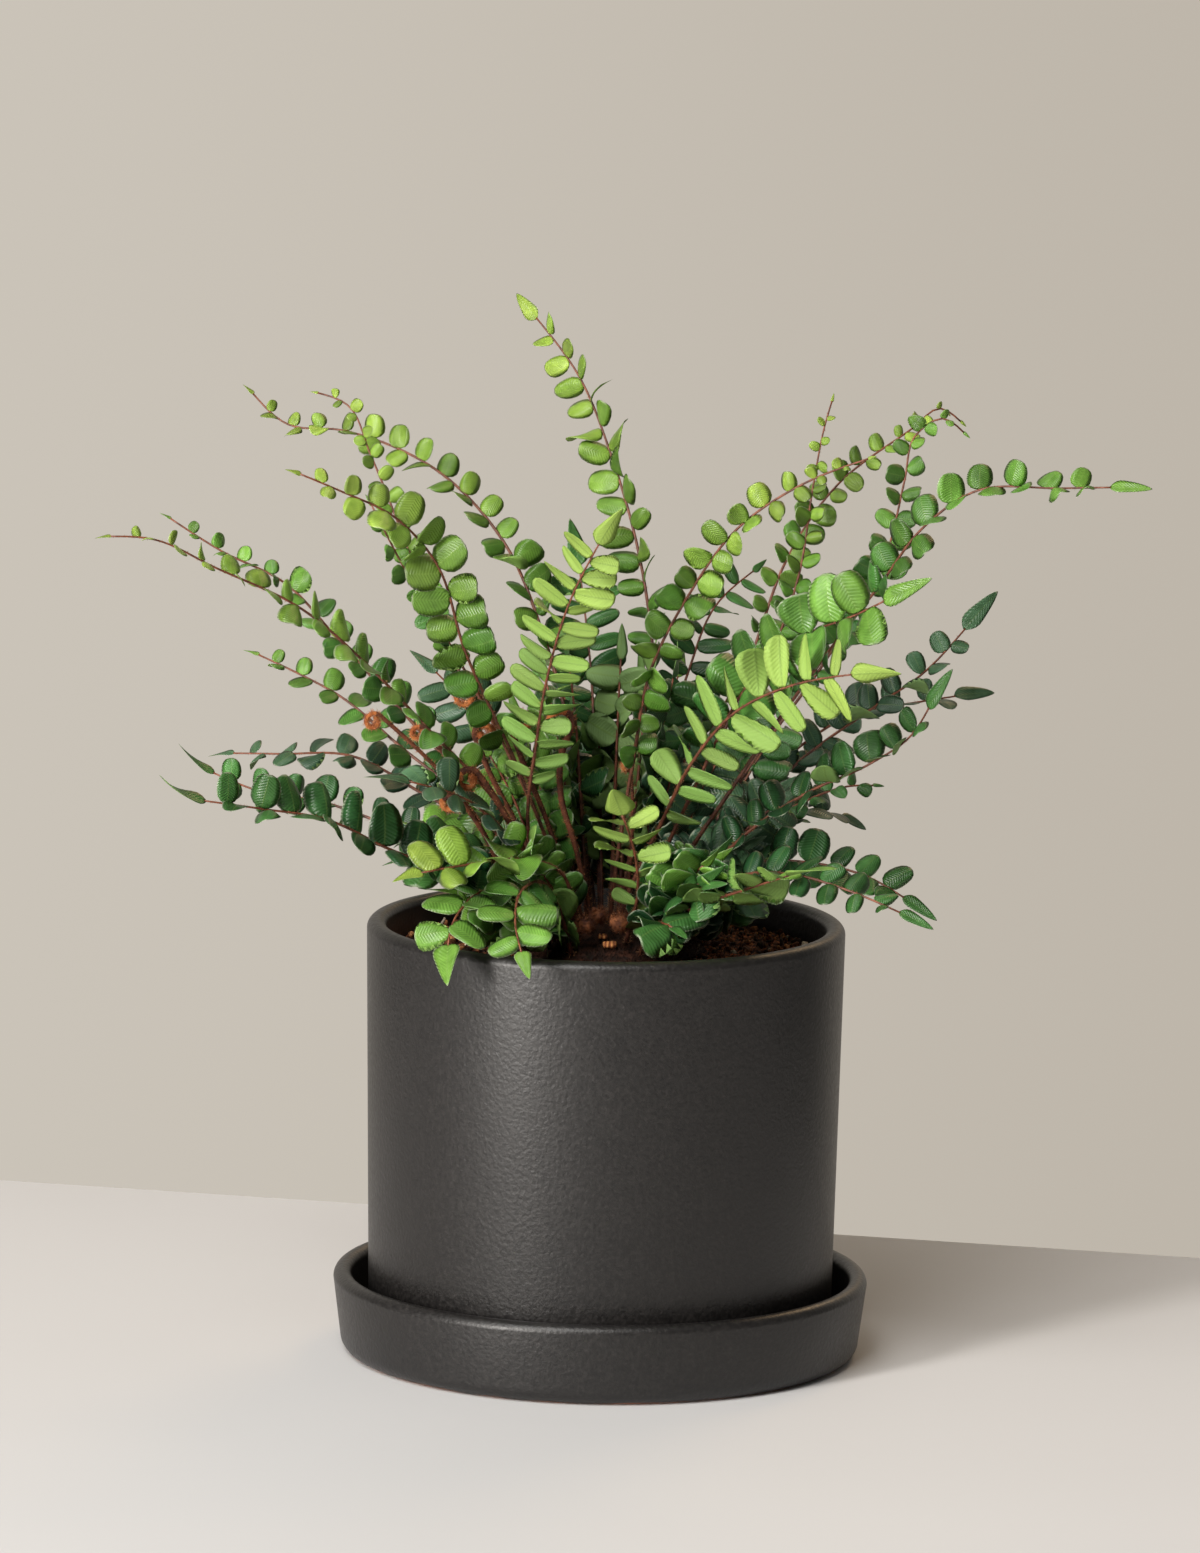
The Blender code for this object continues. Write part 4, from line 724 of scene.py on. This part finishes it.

# For each tone: young leaves, near the tip, and full-grown ones. The tones are lit and shaded
# copies of one green, bright for fronds in the light and mid, dark and blue for fronds further
# into shade: painted light and painted shade.
LIT_AND_SHADED_GREENS = {
    "bright": ("#a9c452", "#63983a"),
    "mid": ("#7fae48", "#447c38"),
    "dark": ("#4f8341", "#275430"),
    "blue": ("#557a58", "#2b4b3b"),
}

# One row for each frond, in millimetres and degrees. tone is its green, chosen by how the
# frond is lit: bright for one in the light, dark or blue for one in shade, low down or at the
# back, so it is painted light and shade. root is where the stalk stands on the rhizome, path
# the points that it passes through, and faces the way its upper side looks. fold raises the
# pinnae out of the frond's plane. There are so many pairs of pinnae, the largest pinna long;
# slim is a pinna's width as a share of its length, bare the share of the stalk without pinnae,
# taper how much the last ones shrink, and blade the length of the leaflet at the tip.

UP = (0.0, 0.0, 1.0)
UP_FRONT = (0.0, -0.6, 0.8)
FRONT = (0.0, -0.9, 0.4)

FROND_COLUMNS = ("name", "tone", "root", "path", "faces", "fold", "pairs", "pinna", "slim",
                 "bare", "taper", "blade")
FROND_ROWS = [
    ("tall_top", "bright", (4, 8), [(13, 20, 191), (8, 38, 230), (-1, 50, 259), (-11, 62, 281),
     (-24, 72, 297)],
     (-0.7, -0.6, 0.3), 35, 13, 11, 0.6, 0.42, 0.4, 11),
    ("upper_left_arch", "bright", (-5, 9), [(-10, 18, 173), (-20, 34, 207), (-32, 50, 232),
     (-52, 66, 251), (-81, 82, 261), (-99, 90, 262), (-109, 96, 270)],
     UP_FRONT, 30, 16, 9, 0.8, 0.32, 0.6, 5),
    ("left_mid_arch", "bright", (-10, -5), [(-26, -14, 174), (-42, -28, 211), (-51, -40, 239),
     (-63, -50, 253), (-78, -58, 261), (-89, -62, 266)],
     (-0.2, -0.8, 0.5), 20, 12, 11, 0.85, 0.34, 0.6, 5),
    ("left_thin_upright", "bright", (-12, 6), [(-32, 18, 172), (-50, 30, 208), (-60, 36, 231),
     (-72, 42, 259), (-79, 46, 273), (-88, 50, 276)],
     FRONT, 30, 13, 6, 0.8, 0.45, 0.6, 3),
    ("left_young_hook", "mid", (-9, 1), [(-27, -6, 173), (-45, -8, 207), (-59, -10, 230),
     (-70, -12, 251)],
     FRONT, 40, 7, 6, 0.8, 0.6, 0.5, 4),
    ("left_low_front", "bright", (-15, -8), [(-31, -22, 164), (-53, -40, 191), (-69, -54, 210),
     (-88, -66, 228), (-112, -78, 241), (-130, -86, 250), (-141, -90, 251)],
     UP_FRONT, 30, 14, 9, 0.85, 0.28, 0.7, 5),
    ("left_low_back", "mid", (-16, 1), [(-38, 8, 162), (-62, 14, 188), (-80, 18, 207),
     (-96, 22, 223), (-115, 24, 232), (-130, 26, 241)],
     UP_FRONT, 30, 13, 8, 0.85, 0.28, 0.7, 4),
    ("left_small", "mid", (-20, 9), [(-38, 24, 155), (-62, 36, 173), (-80, 46, 186),
     (-94, 54, 192), (-105, 60, 196)],
     UP_FRONT, 20, 8, 8, 0.75, 0.35, 0.5, 6),
    ("left_flat_back", "blue", (-18, 14), [(-35, 28, 148), (-56, 44, 158), (-77, 60, 166),
     (-99, 74, 164), (-113, 80, 163)],
     UP_FRONT, 25, 9, 9, 0.7, 0.25, 0.4, 9),
    ("left_flat_front", "dark", (-22, -6), [(-41, -26, 144), (-63, -40, 155), (-81, -50, 165),
     (-99, -58, 169), (-115, -64, 172)],
     UP_FRONT, 35, 9, 12, 0.75, 0.22, 0.4, 17),
    ("left_flat_mid", "dark", (-23, 3), [(-46, 16, 145), (-67, 24, 152), (-85, 30, 157),
     (-103, 34, 159), (-117, 36, 164)],
     UP_FRONT, 30, 8, 9, 0.7, 0.3, 0.4, 13),
    ("front_droop", "mid", (-10, -25), [(-18, -36, 145), (-25, -54, 145), (-26, -66, 139),
     (-24, -76, 132)],
     (0.0, -0.6, 0.7), 5, 5, 11, 0.66, 0.3, 0.1, 10),
    ("front_left_droop", "mid", (-16, -19), [(-29, -34, 142), (-39, -52, 143), (-44, -61, 137),
     (-45, -67, 132)],
     (-0.3, -0.6, 0.7), 5, 4, 11, 0.66, 0.4, 0.1, 14),
    ("front_left_lateral", "bright", (-8, -20), [(-14, -30, 148), (-28, -42, 153),
     (-41, -54, 153), (-53, -62, 152)],
     UP_FRONT, 20, 5, 12, 0.66, 0.4, 0.2, 10),
    ("front_ladder", "bright", (-13, -13), [(-23, -20, 157), (-21, -32, 186), (-18, -44, 207),
     (-12, -56, 230), (-4, -66, 248)],
     (0.1, 0.9, 0.2), 12, 14, 12, 0.38, 0.36, 0.2, 16),
    ("back_ladder", "dark", (-2, 14), [(-4, 26, 170), (-6, 40, 197), (-10, 52, 226)],
     (0.1, -0.95, 0.2), 10, 12, 13, 0.4, 0.22, 0.2, 15),
    ("right_back_ladder", "dark", (9, 14), [(16, 26, 172), (23, 42, 196), (31, 56, 214),
     (42, 66, 223)],
     (0.3, -0.8, 0.4), 12, 12, 11, 0.42, 0.28, 0.4, 7),
    ("right_tall_arch", "bright", (12, 7), [(24, 18, 161), (37, 30, 188), (44, 40, 209),
     (51, 48, 228), (66, 58, 250), (88, 68, 266), (97, 72, 272), (103, 74, 268)],
     (0.3, -0.8, 0.5), 25, 15, 7, 0.8, 0.4, 0.7, 3),
    ("right_mid_arch", "bright", (1, -5), [(7, -16, 178), (12, -28, 208), (21, -36, 228),
     (37, -46, 252), (53, -52, 264), (72, -60, 273)],
     (0.2, -0.8, 0.5), 30, 15, 9, 0.85, 0.28, 0.75, 3),
    ("right_thin_upright", "bright", (17, 12), [(28, 23, 163), (47, 33, 202), (55, 42, 225),
     (59, 48, 252), (62, 50, 269), (64, 52, 276)],
     FRONT, 35, 11, 7, 0.7, 0.5, 0.7, 3),
    ("right_thin_hook", "mid", (18, 1), [(38, 8, 168), (64, 14, 206), (80, 18, 235),
     (85, 20, 257), (88, 22, 270), (96, 22, 275), (102, 22, 271)],
     FRONT, 30, 13, 8, 0.8, 0.46, 0.7, 3),
    ("far_right_arm", "mid", (13, -6), [(39, -18, 176), (62, -28, 212), (77, -36, 234),
     (89, -44, 252), (103, -50, 263), (127, -56, 265), (141, -60, 266)],
     UP_FRONT, 35, 13, 9, 0.85, 0.4, 0.45, 12),
    ("right_broad", "mid", (9, -11), [(26, -28, 175), (41, -44, 207), (56, -56, 222),
     (69, -66, 229), (77, -72, 234)],
     (0.0, -0.85, 0.5), 25, 8, 14, 0.72, 0.42, 0.1, 17),
    ("right_front_bright", "bright", (3, -12), [(16, -26, 163), (24, -40, 182), (37, -56, 200),
     (52, -68, 209), (68, -80, 214)],
     (0.35, 0.9, 0.1), 14, 10, 15, 0.36, 0.3, 0.2, 19),
    ("right_back_tip", "blue", (15, 18), [(39, 34, 153), (58, 48, 170), (78, 60, 183),
     (94, 70, 193), (106, 78, 205)],
     UP_FRONT, 30, 9, 10, 0.66, 0.3, 0.4, 17),
    ("right_back_mid", "blue", (9, 20), [(33, 42, 152), (54, 60, 169), (72, 72, 179),
     (93, 82, 182), (104, 88, 183)],
     UP_FRONT, 30, 8, 10, 0.6, 0.3, 0.3, 15),
    ("right_low_arc", "dark", (19, -5), [(37, -20, 155), (58, -34, 173), (75, -44, 183),
     (86, -50, 192), (91, -54, 201)],
     UP_FRONT, 35, 9, 10, 0.8, 0.3, 0.4, 14),
    ("right_low_thin", "dark", (22, 7), [(39, 14, 149), (58, 22, 161), (71, 26, 165),
     (78, 28, 165)],
     UP_FRONT, 30, 7, 8, 0.7, 0.3, 0.5, 4),
    ("right_low_back", "blue", (21, 15), [(32, 36, 143), (45, 50, 149), (62, 60, 152),
     (70, 66, 149)],
     UP_FRONT, 20, 6, 11, 0.7, 0.3, 0.2, 12),
    ("right_low_front", "mid", (13, -19), [(24, -30, 137), (38, -44, 145), (52, -56, 152)],
     (0.0, 0.3, 0.95), 15, 6, 11, 0.6, 0.25, 0.1, 18),
    ("right_droop", "dark", (24, -1), [(40, -12, 147), (62, -18, 149), (76, -22, 146),
     (86, -26, 141)],
     UP_FRONT, 10, 7, 10, 0.7, 0.3, 0.3, 12),
    ("right_droop_front", "dark", (20, -13), [(38, -30, 147), (55, -44, 150), (70, -52, 147),
     (84, -57, 142)],
     UP_FRONT, 15, 7, 9, 0.7, 0.3, 0.4, 11),
    ("front_small", "bright", (6, -18), [(9, -26, 141), (8, -32, 153), (4, -40, 166)],
     (0.1, 0.8, 0.5), 10, 6, 11, 0.34, 0.22, 0.1, 12),
    ("left_back_dark", "blue", (-10, 15), [(-26, 32, 161), (-39, 46, 180), (-52, 58, 192)],
     (-0.2, -0.7, 0.6), 15, 7, 11, 0.5, 0.35, 0.2, 13),
    ("left_centre_blade", "blue", (-19, -12), [(-30, -26, 158), (-42, -44, 171),
     (-57, -54, 177)],
     UP_FRONT, 15, 6, 11, 0.6, 0.35, 0.2, 15),
    ("back_tall", "dark", (-4, 21), [(-8, 42, 158), (-12, 68, 178), (-18, 94, 189)],
     (0.0, -0.5, 0.9), 20, 9, 11, 0.6, 0.3, 0.3, 13),
    ("back_right", "mid", (14, 24), [(24, 50, 160), (36, 78, 184), (46, 102, 194)],
     (-0.2, -0.5, 0.8), 20, 9, 10, 0.65, 0.3, 0.3, 12),
    ("back_low_left", "dark", (-14, 22), [(-30, 46, 147), (-44, 72, 154), (-52, 94, 148)],
     UP, 20, 8, 10, 0.7, 0.3, 0.3, 12),
    ("back_low_right", "mid", (8, 26), [(20, 54, 145), (34, 82, 149), (42, 104, 141)],
     UP, 20, 8, 10, 0.7, 0.3, 0.3, 12),
    ("back_centre", "mid", (1, 26), [(2, 56, 152), (6, 88, 165), (2, 116, 160)],
     UP, 20, 9, 11, 0.65, 0.3, 0.3, 12),
    ("front_right_short", "dark", (10, -24), [(14, -32, 133), (19, -43, 134)],
     (0.2, -0.5, 0.8), 5, 3, 12, 0.8, 0.4, 0.1, 10),
    ("left_bush", "dark", (-24, -12), [(-32, -22, 144), (-44, -27, 151), (-55, -30, 151)],
     (-0.2, -0.6, 0.7), 10, 5, 12, 0.75, 0.3, 0.1, 11),
    ("right_bush", "dark", (18, 8), [(28, 15, 148), (41, 24, 168), (50, 31, 184)],
     (-0.2, -0.8, 0.5), 15, 8, 11, 0.62, 0.25, 0.2, 12),
    ("centre_bush", "mid", (3, 19), [(9, 32, 156), (16, 46, 178), (20, 58, 192)],
     (0.1, -0.9, 0.4), 12, 9, 12, 0.6, 0.22, 0.2, 12),
]
# Where a frond isn't like the rest: loose scales how much its pinnae stray from their plane,
# blade_width is the tip leaflet's width as a share of its length, and blade_bend its droop.
FROND_HABITS = {
    "tall_top": dict(blade_width=0.45), "left_flat_front": dict(blade_bend=-0.5),
    "left_flat_mid": dict(blade_bend=-0.5, blade_width=0.28),
    "front_droop": dict(blade_width=0.5), "front_left_droop": dict(blade_width=0.62),
    "front_left_lateral": dict(blade_width=0.55),
    "front_ladder": dict(loose=0.5, blade_width=0.4),
    "back_ladder": dict(loose=0.5, blade_width=0.45), "right_back_ladder": dict(loose=0.5),
    "right_front_bright": dict(loose=0.35), "right_low_front": dict(blade_width=0.45),
    "front_small": dict(loose=0.4, blade_width=0.75),
}
FRONDS = [dict(zip(FROND_COLUMNS, row), **FROND_HABITS.get(row[0], {}))
          for row in FROND_ROWS]

# Short fronds crowd the crown between the long ones. They follow one rule: each stands a
# golden angle round from the last, and the further out it reaches the lower it stays. Those
# at the front stay low, so that the crosiers stand clear of them.
UNDERGROWTH = 52
GOLDEN_TURN = 2.39996


def short_frond(number):
    """The row of one short frond, which goes out along its heading by reach and up by rise.

    share is its place in the order. In millimetres, reach is about 12 + 38 share^0.8 and
    rise about 88 - 60 share^0.9, but a front one reaches 34 to 48 and rises 14 to 34.
    """
    share = (number + 0.5) / UNDERGROWTH
    heading = GOLDEN_TURN * number + rng.normal(0, 0.2)
    way = np.array([np.cos(heading), np.sin(heading)])
    reach = 12 + 38 * share**0.8 + rng.normal(0, 3)
    rise = 88 - 60 * share**0.9 + rng.normal(0, 6)
    if way[1] < -0.15:
        way = unit(np.array([np.sign(way[0]) * max(abs(way[0]), 0.8), way[1]]))
        rise, reach = rng.uniform(14, 34), rng.uniform(34, 48)
    start = 8 + 13 * share
    steps = zip((0.30, 0.66, 1.0), (0.46, 0.80, 1.0))
    path = [(*(way * (start + (reach - start) * out)), 120 + rise * up) for out, up in steps]
    to_right, to_back = path[-1][0], path[-1][1]
    # Fronds that end further right and further back get the dark and blue greens: painted shade.
    # The rest get mid.
    shade = to_right * 0.02 + to_back * 0.015 + rng.normal(0.1, 0.3)
    tone = "mid" if shade < -0.05 else "dark" if shade < 0.75 else "blue"
    return dict(
        name=f"short_{number}", root=tuple(way * start), path=path,
        faces=(0.5 * way[0], 0.5 * way[1] - 0.35, 0.7), fold=rng.uniform(5, 30),
        pairs=int(rng.integers(5, 8)), pinna=rng.uniform(11, 14), slim=rng.uniform(0.58, 0.72),
        bare=0.26, taper=0.25, blade=rng.uniform(9, 13), tone=tone, cad=False,
    )


for row in FRONDS + [short_frond(number) for number in range(UNDERGROWTH)]:
    points, faces, finish, uv, tones = grown_frond(row)
    stands_for = ["frond_" + row["name"]] if row.get("cad", True) else ()
    add_piece(row["name"] + "_foliage", points, faces, frond_finishes, "leaf_" + row["tone"],
              stands_for, finish=finish, uv=uv, tone=tones)

# ------------------------------------------------------------------ crosiers
# Young fronds come up rolled in a coil and wrapped in rust-orange hair, which they shed as
# they open. The stem under the hair is fleshy and green-brown.

CROSIER_TURN = 400.0  # degrees of coil
CROSIER_SIDES = 8
CROSIER_HAIRS = 9.0  # to each millimetre of stem
COIL_SHARE = 0.62  # beyond this share of its rows the hair is still orange
CROSIER_HAIR_HALF_WIDTH = 0.09 * MM

# name, root, path, the way it curls, radius of the coil, and thickness, in millimetres
CROSIERS = [
    ("hook", (-4, -12), [(-9, -15, 151), (-14, -17, 169), (-14, -18, 179), (-11, -18, 188)],
     (-1.0, -0.2, 0.0), 4.0, 1.5),
    ("pair_right", (-8, -9), [(-18, -8, 159), (-25, -10, 176), (-29, -12, 187)],
     (1.0, 0.2, 0.0), 3.5, 1.3),
    ("pair_left", (-14, -3), [(-26, -6, 156), (-35, -12, 174), (-39, -14, 184)],
     (1.0, -0.3, 0.0), 3.5, 1.3),
    ("stout", (-15, -16), [(-25, -26, 154), (-32, -32, 168), (-38, -36, 177)],
     (-1.0, -0.3, 0.0), 3.5, 1.5),
    ("stout_low", (-22, -15), [(-32, -26, 150), (-38, -31, 162), (-43, -34, 169)],
     (-1.0, 0.0, 0.0), 3.0, 1.3),
    ("slim_centre", (6, 1), [(7, -1, 150), (7, -4, 165), (6, -6, 176)], (-0.5, -1.0, 0.0), 2.4,
     0.9),
    ("slim_left", (-20, -2), [(-40, -14, 168), (-53, -21, 187)], (-1.0, 0.0, 0.0), 2.6, 0.9),
    ("slim_far_left", (-21, 5), [(-46, -2, 168), (-67, -8, 189)], (-0.4, 0.0, -1.0), 2.6, 0.9),
    ("nodding", (-7, 4), [(-28, 0, 176), (-39, -4, 196)], (-1.0, -0.2, 0.0), 3.6, 1.0),
]


def rolled_frond(root, path, curl, coil, thick):
    """Stem, coil and hair of one crosier.

    The coil's point at turn a is centre - inward r cos a + ahead r sin a, with r falling
    from coil to 0.38 coil. The tube swells from 0.42 to 0.92 of thick along its length.
    """
    x, y = np.array(root) * MM
    foot = (x, y, crown_height(x, y) + 1.2 * MM)
    stem, _ = smooth_path([foot] + [tuple(np.array(point) * MM) for point in path], 1.2 * MM)
    ahead = unit(stem[-1] - stem[-2])
    curl = np.array(curl, float)
    inward = unit(curl - ahead * (curl @ ahead))
    coil = coil * MM
    turn = np.radians(np.linspace(0, CROSIER_TURN, 46))[1:, None]
    reach = coil * (1 - 0.62 * turn / turn[-1])
    centre = stem[-1] + inward * coil
    rolled = centre - inward * reach * np.cos(turn) + ahead * reach * np.sin(turn)
    path = np.concatenate([stem, rolled])
    tangent, normal, side = carried_frame(path, np.cross(ahead, inward))
    share = np.linspace(0, 1, len(path))
    radius = thick * MM * (0.42 + 0.5 * share) * np.where(share > 0.985, 0.6, 1.0)
    points, faces = tube(path, normal, side, radius, CROSIER_SIDES)
    length = np.linalg.norm(np.diff(path, axis=0), axis=1).sum()
    count = int(length / MM * CROSIER_HAIRS)
    spot = rng.uniform(0, 1, count) ** 0.8 * (len(path) - 1)
    low = np.minimum(spot.astype(int), len(path) - 2)
    mix = (spot - low)[:, None]
    where, nor, sid, tan = (track[low] * (1 - mix) + track[low + 1] * mix
                            for track in (path, normal, side, tangent))
    around = rng.uniform(0, 2 * np.pi, (count, 1))
    radial = unit(nor * np.cos(around) + sid * np.sin(around))
    ways = unit(radial + tan * rng.uniform(-0.3, 0.8, (count, 1)))
    fuzz = hairs(where + radial * radius[low][:, None] * 0.85, ways,
                 rng.uniform(0.5, 1.5, count) * MM, CROSIER_HAIR_HALF_WIDTH)
    points, all_faces = join([(points, faces[0]), fuzz])
    coiled = share[low] > COIL_SHARE
    rows = np.repeat(share[:-1], CROSIER_SIDES) > COIL_SHARE
    finish = np.concatenate([rows * 2.0, np.repeat(1.0 + 2.0 * coiled, 4), [0, 2]])
    return points, all_faces + faces[1:], finish


crosier_finishes = [
    hair_finish("brown_crosier_stem", "#3d2016", "#6a3a24"),
    hair_finish("rust_crosier_hair", "#8f5636", "#bd8458"),
    hair_finish("felted_crosier_coil", "#84451f", "#b8703c"),
    hair_finish("orange_crosier_hair", "#a8603a", "#dba475"),
]
for name, *row in CROSIERS:
    points, faces, finish = rolled_frond(*row)
    add_piece(name + "_crosier_hairy", points, faces, crosier_finishes, "crosier",
              ["crosier_" + name], finish=finish)

# ------------------------------------------------------------------ bark chips
# Three flakes of orchid bark lie against the rhizome: split flat, rounded by tumbling, and
# ridged along the grain.

BARK_GRID = 9


def bark_flake(low, high, turn):
    """A rounded slab in the box from low to high: superellipse sections x^4 + y^4 shrink
    towards the top and the bottom, and ridges run along its grain."""
    middle, half = (low + high) / 2, (high - low) / 2
    rise = np.radians(np.linspace(-88, 88, BARK_GRID))[:, None]
    around = np.linspace(0, 2 * np.pi, 4 * BARK_GRID, endpoint=False)
    c, s = np.cos(around), np.sin(around)
    square = (c**4 + s**4) ** -0.25
    belt = np.cos(rise) ** 0.35
    x = belt * square * c * (1 + 0.08 * np.sin(3 * around + turn))
    y = belt * square * s * (1 + 0.10 * np.sin(2 * around - turn))
    z = np.sin(rise) * (1 + 0.18 * np.sin(9 * y + turn))
    points = np.stack([x, y, z], axis=-1) * half * 0.92 + middle
    here = np.arange(points[..., 0].size).reshape(x.shape)
    there = np.roll(here, -1, axis=1)
    skin = np.stack([here[:-1], there[:-1], there[1:], here[1:]], axis=-1).reshape(-1, 4)
    return points.reshape(-1, 3), [skin, here[:1, ::-1], here[-1:]]


def bark_finish():
    """Pine bark: corky and matt, orange-brown with darker grain lines about 0.6 mm apart."""
    f = new_finish("pine_bark")
    at = node(f, "TexCoord").outputs["Object"]
    grain = node(f, "TexWave", {"Vector": at, "Scale": 260.0, "Distortion": 3.0, "Detail": 3.0})
    cork = node(f, "ValToRGB", {0: grain.outputs[0]},
                ramp=[(0.1, "#6e3a1d"), (0.5, "#a5612f"), (0.9, "#c98a52")])
    bump = node(f, "Bump", {"Height": grain.outputs[0], "Strength": 0.6, "Distance": 0.0003})
    matt = node(f, "BsdfPrincipled", {"Base Color": cork.outputs[0], "Roughness": 0.85,
                                      "Normal": bump.outputs[0]})
    node(f, "OutputMaterial", {0: matt.outputs[0]})
    return f


pine_bark = bark_finish()
for turn, name in enumerate(("front", "right", "left")):
    chip_low, chip_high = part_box("bark_chip_" + name)
    points, faces = bark_flake(np.array(chip_low), np.array(chip_high), 1.7 * turn)
    add_piece("bark_flake_" + name, points, faces, [pine_bark], "bark", ["bark_chip_" + name])

# ------------------------------------------------------------------ studio
# A pale tabletop, its far edge just behind the plant, with a wall well beyond it that glows with
# painted light, a little darker to the right. A large soft light and a low upright strip stand
# left of the camera, and a weak warm light stands behind the plant. The room fills the shadows.

# The wall's painted light: its glow at the left, and painted shade making the right darker.
WALL_GLOW_LEFT, WALL_GLOW_RIGHT = "#cbc4b9", "#bdb5a9"
EDGE_LEFT, EDGE_RIGHT = (-0.1924, 0.2277), (0.1861, 0.1414)  # two points of the far edge
TABLE_REACH = 2.2  # beyond each of those points
TABLE_FRONT = -3.4
TABLE_THICKNESS = 0.04
WALL_AT = 3.6
CAMERA_AT = (0.0, -2.6, 0.589)
CAMERA_LENS = 270.7
CAMERA_DOWN = 0.1595  # radians below level
CAMERA_ROLL = 0.0175
CAMERA_TURN = 0.001


def set_piece(name, points, faces, finish):
    """A backdrop: corners and faces as given."""
    mesh = bpy.data.meshes.new(name)
    mesh.from_pydata(points, [], faces)
    mesh.materials.append(finish)
    thing = bpy.data.objects.new(name, mesh)
    bpy.context.scene.collection.objects.link(thing)


def painted_board():
    """Matt painted board, as even as a studio surface is."""
    f = new_finish("matt_painted_tabletop")
    at = node(f, "TexCoord").outputs["Object"]
    drift = node(f, "TexNoise", {"Vector": at, "Scale": 3.0, "Detail": 2.0})
    paint = node(f, "ValToRGB", {0: drift.outputs[0]},
                 ramp=[(0.3, "#cfcece"), (0.7, "#d5d4d4")])
    matt = node(f, "BsdfPrincipled", {"Base Color": paint.outputs[0], "Roughness": 0.7,
                                      "Specular IOR Level": 0.2})
    node(f, "OutputMaterial", {0: matt.outputs[0]})
    return f


def glowing_painted_wall():
    """A glowing wall whose colour is painted light, not lit by the lamps, with painted shade
    making it a little darker to the right.
    """
    f = new_finish("glowing_wall_painted_light")
    at = node(f, "SeparateXYZ", {0: node(f, "TexCoord").outputs["Object"]})
    share = node(f, "MapRange", {0: at.outputs["X"], 1: -0.6, 2: 0.6},
                 interpolation_type="SMOOTHSTEP")
    paint = node(f, "ValToRGB", {0: share.outputs[0]}, ramp=[(0.0, WALL_GLOW_LEFT), (1.0, WALL_GLOW_RIGHT)])
    # The wall glows with its painted colour instead of being lit: painted light.
    light = node(f, "Emission", {0: paint.outputs[0], 1: 1.0})
    node(f, "OutputMaterial", {0: light.outputs[0]})
    return f


along_edge = unit(np.subtract(EDGE_RIGHT, EDGE_LEFT)) * TABLE_REACH
far_left, far_right = EDGE_LEFT - along_edge, EDGE_RIGHT + along_edge
table_corners = [(*far_left, 0.0), (*far_right, 0.0), (far_right[0], TABLE_FRONT, 0.0),
                 (far_left[0], TABLE_FRONT, 0.0)]
table_under = [(x, y, -TABLE_THICKNESS) for x, y, _ in table_corners]
set_piece("tabletop", table_corners + table_under,
          [(3, 2, 1, 0), (4, 5, 6, 7), (0, 1, 5, 4), (1, 2, 6, 5), (2, 3, 7, 6), (3, 0, 4, 7)],
          painted_board())
wall_corners = [(x, WALL_AT, z) for x, z in ((-4, -2.5), (4, -2.5), (4, 3.5), (-4, 3.5))]
set_piece("wall", wall_corners, [(0, 1, 2, 3)], glowing_painted_wall())

scene = bpy.context.scene
scene.view_settings.view_transform = "Standard"
scene.world = bpy.data.worlds.new("pale_room")
scene.world.use_nodes = True
room = scene.world.node_tree.nodes["Background"]
room.inputs["Color"].default_value = linear("#d0cdc8")
room.inputs["Strength"].default_value = 0.22


def add_light(name, at, towards, size, power, colour):
    """A rectangular soft light at one place, turned to face another. power is in watts."""
    lamp = bpy.data.lights.new(name, "AREA")
    lamp.shape = "RECTANGLE"
    lamp.size, lamp.size_y = size
    lamp.energy = power
    lamp.color = linear(colour)[:3]
    stand = bpy.data.objects.new(name, lamp)
    stand.location = at
    stand.rotation_euler = (Vector(towards) - Vector(at)).to_track_quat("-Z", "Y").to_euler()
    scene.collection.objects.link(stand)


add_light("key_softbox", (-0.80, -1.60, 2.20), (0.0, 0.0, 0.12), (1.5, 1.5), 56.0, "#fffdf9")
add_light("strip_softbox", (-1.50, -1.70, 0.66), (0.0, 0.0, 0.10), (0.34, 1.1), 64.0, "#fffaf4")
add_light("warm_fill", (0.9, 1.8, 1.9), (0.14, 0.08, 0.0), (0.8, 0.8), 11.0, "#ffd6a2")

camera = bpy.data.objects.new("camera", bpy.data.cameras.new("camera"))
camera.data.lens = CAMERA_LENS
camera.data.sensor_width = 36.0
camera.data.sensor_fit = "HORIZONTAL"
camera.matrix_world = (
    Matrix.Translation(CAMERA_AT)
    @ Matrix.Rotation(CAMERA_TURN, 4, "Z")
    @ Matrix.Rotation(np.pi / 2 - CAMERA_DOWN, 4, "X")
    @ Matrix.Rotation(CAMERA_ROLL, 4, "Z")
)
scene.collection.objects.link(camera)
scene.camera = camera
